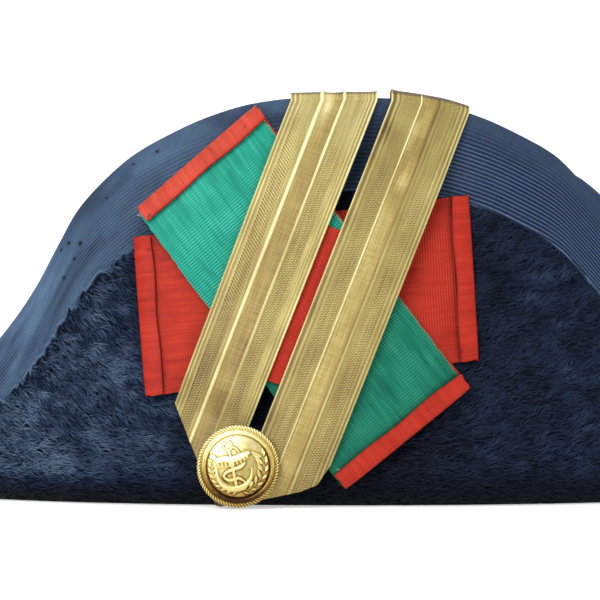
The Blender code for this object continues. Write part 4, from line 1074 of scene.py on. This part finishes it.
def make_lace():
    """The strip with its tails as a wall, its relief on the outside. The tone starts from an even
    gold and takes the lines, clouds and blotches, the painted light on each leg and the satin's, a
    brown patch, and painted shade along the folds and at the tip under the button."""
    place, level, v, u, left = lace_strip()
    wave = 0.12 * MM * clouds(place[..., 0], place[..., 1], 16 * MM, 81)
    grid = on_flap(place[..., 0], place[..., 1], level + THICK + 0.1 * MM + wave)
    ends = []
    # the inner corners stand up a little where the strip leaves the edge
    for row, low, corner in ((0, 1.1, 0.6), (-1, 1.7, 1.0)):
        lift = (low + corner * np.exp(-(1 - v[row]) / 0.07)) * MM
        ends.append(over_edge(place[row, :, 0], level[row] + THICK + 0.1 * MM, lift))
    grid = np.concatenate([ends[0][::-1], grid, ends[1]])
    count = len(ends[0])
    tail = np.arange(1, count + 1)[:, None] * 0.5 * MM
    v = np.concatenate([np.repeat(v[:1], count, 0), v, np.repeat(v[-1:], count, 0)])
    u = np.concatenate([u[:1] - tail[::-1], u, u[-1:] + tail])
    left = np.concatenate([np.ones(count), left, np.zeros(count)])[:, None]
    right = 1 - left
    out = normals(grid)
    out *= -np.sign(np.median(out[..., 1]))
    above = rise(np.abs(u), 0, 105 * MM) * np.where(left > 0.5, u < 0, u > 0)
    high, lines, satin, outer, inner = weave(v, left, above)
    # slanting marks on the outer band of the left leg, dots elsewhere; both fade towards the folds
    marks = left * rise(u, -22 * MM, -20 * MM)
    fade = np.clip((104 * MM - np.abs(u)) / (22 * MM), 0.35, 1)
    twill, dots = outer * marks * fade, (outer * (1 - marks) + inner) * fade
    cloud = clouds(u + 300 * MM * left, 1.5 * v * LACE, 22 * MM, 84)
    blotch = clouds(u + 300 * MM * left, 2 * v * LACE, 6 * MM, 83)
    tone = 0.41 + lines * (1 + 0.5 * rise(above, 0.8, 0.2)) + 0.06 * cloud + 0.05 * blotch
    # painted light: a warm highlight beside the button, a glint on the left fold, and both legs lighter
    # towards their heads and darker at their feet
    tone += 0.13 * bell(np.hypot(grid[..., 0] + 45 * MM, grid[..., 2] - 25 * MM), 0, 8 * MM)
    tone += 0.36 * bell(v, 0.45, 0.06) * bell(u, -106 * MM, 6 * MM) * left
    tone += left * (0.21 * above - 0.06) + right * (0.14 * above - 0.09) - 0.08 * outer * left * (1 - above)
    # the satin, with painted light and shade across it where it sags: greyer on the left leg and darker
    # towards its inner cord, bright on the right leg
    pale = 0.12 + 0.5 * (v - 0.5) - 0.10 * rise(above, 0.75, 0.25)
    pale += 0.16 * np.clip(blotch, 0, 1) * (u > 75 * MM)
    tone += satin * (left * (0.04 - 0.75 * (v - 0.385)) + right * pale)
    # a brown patch near the head of the right leg, at its inner edge
    brown_patch = bell(v, 0.92, 0.06) * bell(u, 104.5 * MM, 3.5 * MM)
    brown_patch = (brown_patch + 0.5 * bell(v, 0.80, 0.09) * bell(u, 103.5 * MM, 3.5 * MM)) * right
    # painted shade: a dark line along the fold over the edge, where the strip turns over to the back
    row = np.arange(len(grid))[:, None]
    wear_and_shade = rise(row, count - 2.4, -1.3) + rise(row, len(grid) - count + 1.4, 1.3)
    # painted shade: the tip under the button, low by the floor, is painted dark brown
    tip = np.exp(-(grid[..., 2] - 1 * MM).clip(0) / (3 * MM)) * rise(grid[..., 0], -35 * MM, -2 * MM)
    tone = np.clip(tone - 0.20 * brown_patch - 0.50 * wear_and_shade - 0.45 * tip, 0, 1)
    uv = np.stack([u, v * LACE], axis=-1).reshape(-1, 2) * 1000
    shades = {"tone": tone, "twill": twill, "dots": dots, "satin": satin}
    shades = {label: np.tile(np.broadcast_to(shade, v.shape).ravel(), 2) for label, shade in shades.items()}
    wall = wall_of(grid + out * (THICK + high)[..., None], grid - out * THICK)
    piece = made("gold_lace_loop", *wall, lace, "gold_lace", uv=np.tile(uv, (2, 1)), **shades)
    return piece


# Gold lace: flattened gilt thread over silk, pale greenish gold with a broken metal gloss, browner
# where its tone is low, as in the painted shade at the folds and under the button.
lace, tree, shader = begun("woven gilt thread lace")
cloth = node(tree, "ShaderNodeUVMap", uv_map="cloth")
along, across, _ = node(tree, "ShaderNodeSeparateXYZ", (cloth,)).outputs
known = {"along": along, "across": across}
for label in ("tone", "twill", "dots", "satin"):
    known[label] = node(tree, "ShaderNodeAttribute", attribute_name=label).outputs["Fac"]
# the satin's crosswise marks, fine and broken, the warp's streaks, and the thread's slubs all over
for label, scale, size, detail in (
    ("marks", (1.5, 0.10, 1), 1.0, 4.0), ("warp", (0.06, 2.4, 1), 1.0, 2.0), ("slubs", (1, 1, 1), 2.8, 2.0),
):
    place = node(tree, "ShaderNodeMapping", {0: cloth, "Scale": scale})
    known[label] = node(tree, "ShaderNodeTexNoise", {"Vector": place, "Scale": size, "Detail": detail})
# each row names a result, the operation, and its values: numbers or earlier results
for label, operation, *values in (
    # twill: four columns of slanting marks 0.85 mm apart, drawn a little coarser than they are
    ("down", "MULTIPLY", "along", -2 * math.pi * 0.80 / 0.85),
    ("slant", "MULTIPLY_ADD", "across", 2 * math.pi * 0.60 / 0.85, "down"),
    ("slant", "SINE", "slant"),
    ("column", "MULTIPLY", "across", math.pi / 1.30),
    ("column", "SINE", "column"),
    ("column", "ABSOLUTE", "column"),
    ("column", "POWER", "column", 0.5),
    ("column", "MULTIPLY", "twill", "column"),
    ("slant", "MULTIPLY", "slant", "column"),
    ("slant", "MULTIPLY", "slant", 0.7),
    # plain weave: columns of dots 0.85 mm apart and 0.8 mm along them, each column half a step on
    ("column", "DIVIDE", "across", 0.85),
    ("row", "FLOOR", "column"),
    ("dot", "MULTIPLY", "along", 2 * math.pi / 0.80),
    ("dot", "MULTIPLY_ADD", "row", math.pi, "dot"),
    ("dot", "SINE", "dot"),
    ("dot", "MULTIPLY_ADD", "dot", 0.8, 0.35),
    ("hump", "FRACT", "column"),
    ("hump", "MULTIPLY", "hump", math.pi),
    ("hump", "SINE", "hump"),
    ("dot", "MULTIPLY", "dot", "hump"),
    ("dot", "SUBTRACT", "dot", 0.25),
    ("dot", "MULTIPLY", "dot", "dots"),
    # the marks are strong on the satin, and the relief is all of these together
    ("cross", "SUBTRACT", "marks", 0.5),
    ("strong", "MULTIPLY_ADD", "satin", 0.7, 0.3),
    ("cross", "MULTIPLY", "cross", "strong"),
    ("relief", "ADD", "slant", "dot"),
    ("relief", "ADD", "relief", "cross"),
    ("shade", "MULTIPLY_ADD", "relief", 0.26, "tone"),
    ("slubs", "SUBTRACT", "slubs", 0.5),
    ("shade", "MULTIPLY_ADD", "slubs", 0.30, "shade"),
    ("warp", "SUBTRACT", "warp", 0.5),
    ("shade", "MULTIPLY_ADD", "warp", 0.42, "shade"),
):
    values = [known.get(value, value) for value in values]
    known[label] = node(tree, "ShaderNodeMath", values, operation=operation)
tint = dyed(node(tree, "ShaderNodeValToRGB", (known["shade"],)), (
    (0.0, "#402a1c"), (0.22, "#715d30"), (0.5, "#a29252"), (0.75, "#cbc083"), (1.0, "#f5edba")))
# the satin's long threads are of a warmer gold
warm = node(
    tree, "ShaderNodeMix", {0: known["satin"], 6: tint, 7: linear("#fff7f0")},
    data_type="RGBA", blend_type="MULTIPLY",
)
fill(tree, shader, {
    "Base Color": warm.outputs[2], "Metallic": 0.3, "Roughness": 0.48,
    "Normal": node(tree, "ShaderNodeBump", {"Height": known["relief"], "Strength": 0.4, "Distance": 0.0002}),
})

gold_lace = make_lace()
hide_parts("gold_lace")


# The button: sheet brass stamped in a die and gilt, with a rope edge, a plain rim and, on its
# domed field, a foul anchor between two laurel branches. It is sewn through the lace.
EDGE_HIGH = 2 * MM
ROPE = 1.3 * MM  # its thickness
ROPE_TURNS = 80
DOME = 1.3 * MM  # how far the field bulges
RELIEF = 0.72 * MM
TILT = math.radians(10)
WIDE = 1.02 * BUTTON_WIDE  # the rope's lobes stand out a little past the plain edge
SEAT = WIDE / 2 - 3.2 * MM  # the field's radius


def line_through(points, count):
    """A smooth line through a few points: cubic pieces between them, with slopes from neighbours."""
    points = np.array(points, float)
    slopes = np.gradient(points, axis=0)
    at = np.linspace(0, len(points) - 1, count)
    i = np.minimum(at.astype(int), len(points) - 2)
    t = (at - i)[:, None]
    return (
        (2 * t**3 - 3 * t**2 + 1) * points[i] + (3 * t**2 - 2 * t**3) * points[i + 1]
        + (t**3 - 2 * t**2 + t) * slopes[i] + (t**3 - t**2) * slopes[i + 1]
    )


def bar(x, y, points, widths, high, twist=0, count=40):
    """A rounded raised bar: high (1 - (distance from its line / half width)^2)^0.5, with twist
    adding ridges across it like a rope's strands."""
    line = line_through(points, count)
    half = np.interp(np.linspace(0, 1, count), np.linspace(0, 1, len(widths)), widths)
    raised = np.zeros_like(x)
    for (ax, ay), (bx, by), w, n in zip(line[:-1], line[1:], half, range(count)):
        near = (np.abs(x - (ax + bx) / 2) < 0.3) & (np.abs(y - (ay + by) / 2) < 0.3)
        px, py = x[near], y[near]
        size = max((bx - ax) ** 2 + (by - ay) ** 2, 1e-9)
        t = np.clip(((px - ax) * (bx - ax) + (py - ay) * (by - ay)) / size, 0, 1)
        gap = np.hypot(px - ax - t * (bx - ax), py - ay - t * (by - ay))
        side = (px - ax) * (by - ay) - (py - ay) * (bx - ax)
        dome = np.sqrt(np.clip(1 - (gap / w) ** 2, 0, 1))
        if twist:
            strand = np.cos(2 * math.pi * ((n + t) / count * twist + 0.35 * np.sign(side) * gap / w))
            dome = dome * (1 + 0.28 * strand)
        raised[near] = np.maximum(raised[near], high * dome)
    return raised


def leaf(x, y, at, angle, size, high):
    """A pointed leaf: high (1 - (across / (0.44 (1 - |along|^1.7)))^2)^0.5, its vein cut in."""
    dx, dy = x - at[0], y - at[1]
    along = (dx * math.cos(angle) + dy * math.sin(angle)) / size
    across = (-dx * math.sin(angle) + dy * math.cos(angle)) / size
    wide = 0.44 * np.clip(1 - np.abs(along) ** 1.7, 0, 1)
    body = np.clip(1 - (across / np.maximum(wide, 1e-6)) ** 2, 0, 1) ** 0.5 * (wide > 0)
    return high * body * (1 - 0.35 * bell(across, 0, 0.07))


def branch(x, y, first, last, pairs, radius, size, high):
    """A laurel branch: a thin stem along an arc, and pairs of leaves that point along it and out."""
    turn = np.radians(np.linspace(first, last, pairs))
    way = math.copysign(1, last - first)
    stem = [(radius * math.cos(a), radius * math.sin(a)) for a in turn]
    raised = bar(x, y, stem, [0.012, 0.012], high * 0.5)
    for k, a in enumerate(turn):
        grown = size * (0.62 + 0.5 * k / pairs)
        for out in (-1, 1):
            r = radius + out * 0.70 * grown
            heading = a + way * (math.pi / 2) - way * out * 0.55
            at = (r * math.cos(a), r * math.sin(a))
            raised = np.maximum(raised, leaf(x, y, at, heading, grown, high))
    return raised


def stamped(x, y):
    """The field's relief over its dome, x and y in half widths of the button."""
    turn = np.linspace(0, 2 * math.pi, 13)
    # the pleats of the cloth on the stock, and the crescent of the arms between two circles
    pleats = [(-0.58, 0.08), (-0.44, 0.03), (-0.20, 0.05), (0.04, 0.12), (0.20, 0.22)]
    pleats = bar(x, y, pleats, [0.05, 0.085, 0.09, 0.08, 0.05], 1.05 * RELIEF)
    outer, inner = np.hypot(x + 0.09, y + 0.19), np.hypot(x + 0.085, y + 0.065)
    moon = rise(outer, 0.46, -0.06) * rise(inner, 0.40, 0.07) * (y < -0.03)
    high = [
        pleats * (0.62 + 0.38 * np.cos(2 * math.pi * (x + 0.25 * y) / 0.095)),
        1.15 * RELIEF * np.sqrt(moon),
        branch(x, y, -72, 32, 7, 0.62, 0.145, 0.95 * RELIEF),
        branch(x, y, -98, -184, 8, 0.63, 0.10, 0.75 * RELIEF),
    ]
    for points, widths, tall, twist, count in (
        # the ring and the shank
        (np.stack([-0.25 + 0.105 * np.cos(turn), 0.49 + 0.12 * np.sin(turn)], axis=1), [0.030, 0.030],
         0.8, 0, 40),
        ([(-0.23, 0.38), (-0.17, 0.15), (-0.02, -0.56)], [0.055, 0.050, 0.045], 0.9, 0, 40),
        # the stock, wrapped in cloth that hangs in pleats between its ends
        ([(-0.73, 0.25), (-0.60, 0.22), (-0.50, 0.14), (-0.34, 0.17), (-0.16, 0.16), (0.04, 0.22),
          (0.24, 0.33)], [0.05, 0.07, 0.085, 0.095, 0.10, 0.10, 0.055], 1.25, 0, 40),
        # the cable, through the ring and down round the shank
        ([(-0.15, 0.47), (-0.05, 0.42), (0.02, 0.33)], [0.040, 0.034], 0.8, 5, 40),
        ([(0.16, 0.07), (0.06, -0.02), (-0.13, -0.09), (-0.29, -0.17), (-0.33, -0.27), (-0.20, -0.35),
          (0.02, -0.30), (0.17, -0.38)], [0.04, 0.06, 0.055, 0.042, 0.036, 0.05, 0.05, 0.035], 1.1, 17, 70),
    ):
        high.append(bar(x, y, points, widths, tall * RELIEF, twist, count))
    return np.max(high, axis=0)


def painted_reflection(x, y):
    """Painted reflection and shade on the gilding: bright at the upper left, where the lamp is mirrored, and
    brown towards the lower right.
    """
    return 0.66 + 0.25 * y - 0.12 * x - 0.36 * np.clip(-y - 0.42, 0, 1)


def make_button():
    """One surface of rings from the field's middle out: the dome and its relief, the plain rim, the
    rope as a ring whose radius swells with cos(80 turn + 2.4 section), the side and the back."""
    turn = np.linspace(0, 2 * math.pi, 577)[:-1]
    half = WIDE / 2
    r = np.linspace(0.004, 1, 84)[:, None] * SEAT
    x, y = r * np.cos(turn), r * np.sin(turn)
    relief = stamped(x / half, y / half)
    # dirt and painted shade lie where the relief is lower than the mean of four places close by
    around = ((0.045, 0), (-0.045, 0), (0, 0.045), (0, -0.045))
    near = [stamped(x / half + dx, y / half + dy) for dx, dy in around]
    dirt_and_shade = np.clip(np.mean(near, axis=0) - relief, 0, None) / (0.30 * MM)
    high = relief * rise(r, SEAT, -0.3 * MM)
    rings = [np.stack([x, y, EDGE_HIGH + DOME * (1 - (r / SEAT) ** 2) + high], axis=-1)]
    # darker in the groove at the field's edge
    darkening = 0.4 * np.exp(-(SEAT - r) / (0.18 * MM))
    tones = [painted_reflection(x / half, y / half) + 0.22 * high / MM - 0.30 * dirt_and_shade - darkening]

    def ring(radius, up, tone):
        rings.append(np.stack([radius * np.cos(turn), radius * np.sin(turn), up + 0 * turn], axis=-1)[None])
        tones.append((tone + 0 * turn)[None])

    # painted reflection on the plain rim: light at the top and left, darker at the bottom and right
    shine = 0.46 + 0.36 * np.sin(turn) - 0.10 * np.cos(turn) - 0.20 * np.clip(-np.sin(turn + 0.5), 0, 1)
    for out, up, darkening in (  # the place as a share of the rim's width, the height in mm, and how much darker it is
        (0.02, -0.20, 0.6), (0.10, -0.05, 0.3), (0.25, 0.28, 0), (0.45, 0.46, -0.1), (0.65, 0.48, -0.1),
        (0.85, 0.34, 0), (0.96, 0.08, 0.35),
    ):
        ring(SEAT + out * (half - ROPE - SEAT), EDGE_HIGH + up * MM, shine - 0.7 * darkening)
    for section in np.radians(np.linspace(170, -95, 15)):
        lobe = np.cos(ROPE_TURNS * turn + 2.4 * section)
        swell = ROPE / 2 * (0.86 + 0.14 * lobe)
        # painted highlight and shade on the rope: lighter at the top and on each lobe, darker between the
        # lobes
        gloss = 0.56 + 0.22 * np.sin(turn) - 0.06 * np.cos(turn) + 0.26 * (lobe - 0.3)
        ring(half - ROPE / 2 + swell * math.cos(section), EDGE_HIGH + swell * math.sin(section), gloss)
    for inset, up in ((0.9, 0.7), (1.1, 0.15), (1.4, 0.02)):
        ring(half - inset * MM, up * MM, 0.3)
    ring(0.05 * MM, 0, 0.3)
    grid = np.concatenate(rings)
    at, faces = quads(*grid.shape[:2], around=True)
    faces = faces[:, [0, 3, 2, 1]].tolist() + [at[0, :-1].tolist(), at[-1, -2::-1].tolist()]
    across, up, out = grid.reshape(-1, 3).T
    lean = math.pi / 2 - TILT
    back = fold(np.array(BUTTON[0])) + (0.82 * LACE_LEVEL + 1.4 * MM) / math.cos(LEAN) + GAP
    places = np.stack(
        [BUTTON[0] + across,
         -back + up * math.cos(lean) - out * math.sin(lean),
         BUTTON[1] + up * math.sin(lean) + out * math.cos(lean)], axis=1)
    tone = np.clip(np.concatenate(tones).ravel(), 0, 1)
    return made("gilt_button", places, faces, gilt, "gilt", tone=tone, sharp=60)


# Gilt brass: a pale polished metal with a soft gloss; its tone is painted brown below as reflection
# and shade, and darker in the hollows of the stamping, with dirt and painted shade.
gilt, tree, shader = begun("stamped gilt brass")
tone = node(tree, "ShaderNodeAttribute", attribute_name="tone").outputs["Fac"]
coords = node(tree, "ShaderNodeTexCoord")
# fine wear, in specks 1.4 mm apart and less
wear_and_shade = node(tree, "ShaderNodeTexNoise", {"Vector": coords.outputs["Object"], "Scale": 700.0, "Detail": 3.0})
wear = node(tree, "ShaderNodeMath", (wear_and_shade, 0.5), operation="SUBTRACT")
wear = node(tree, "ShaderNodeMath", (wear, 0.22, tone), operation="MULTIPLY_ADD")
tint = dyed(node(tree, "ShaderNodeValToRGB", (wear,)), (
    (0.0, "#3c2610"), (0.25, "#8a6a30"), (0.55, "#cdb768"), (0.8, "#efe3a6"), (1.0, "#fffbe0")))
fill(tree, shader, {
    "Base Color": tint, "Metallic": 0.85,
    "Roughness": node(tree, "ShaderNodeMapRange", {"Value": wear_and_shade, "To Min": 0.26, "To Max": 0.42}),
})

button = make_button()
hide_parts("button")
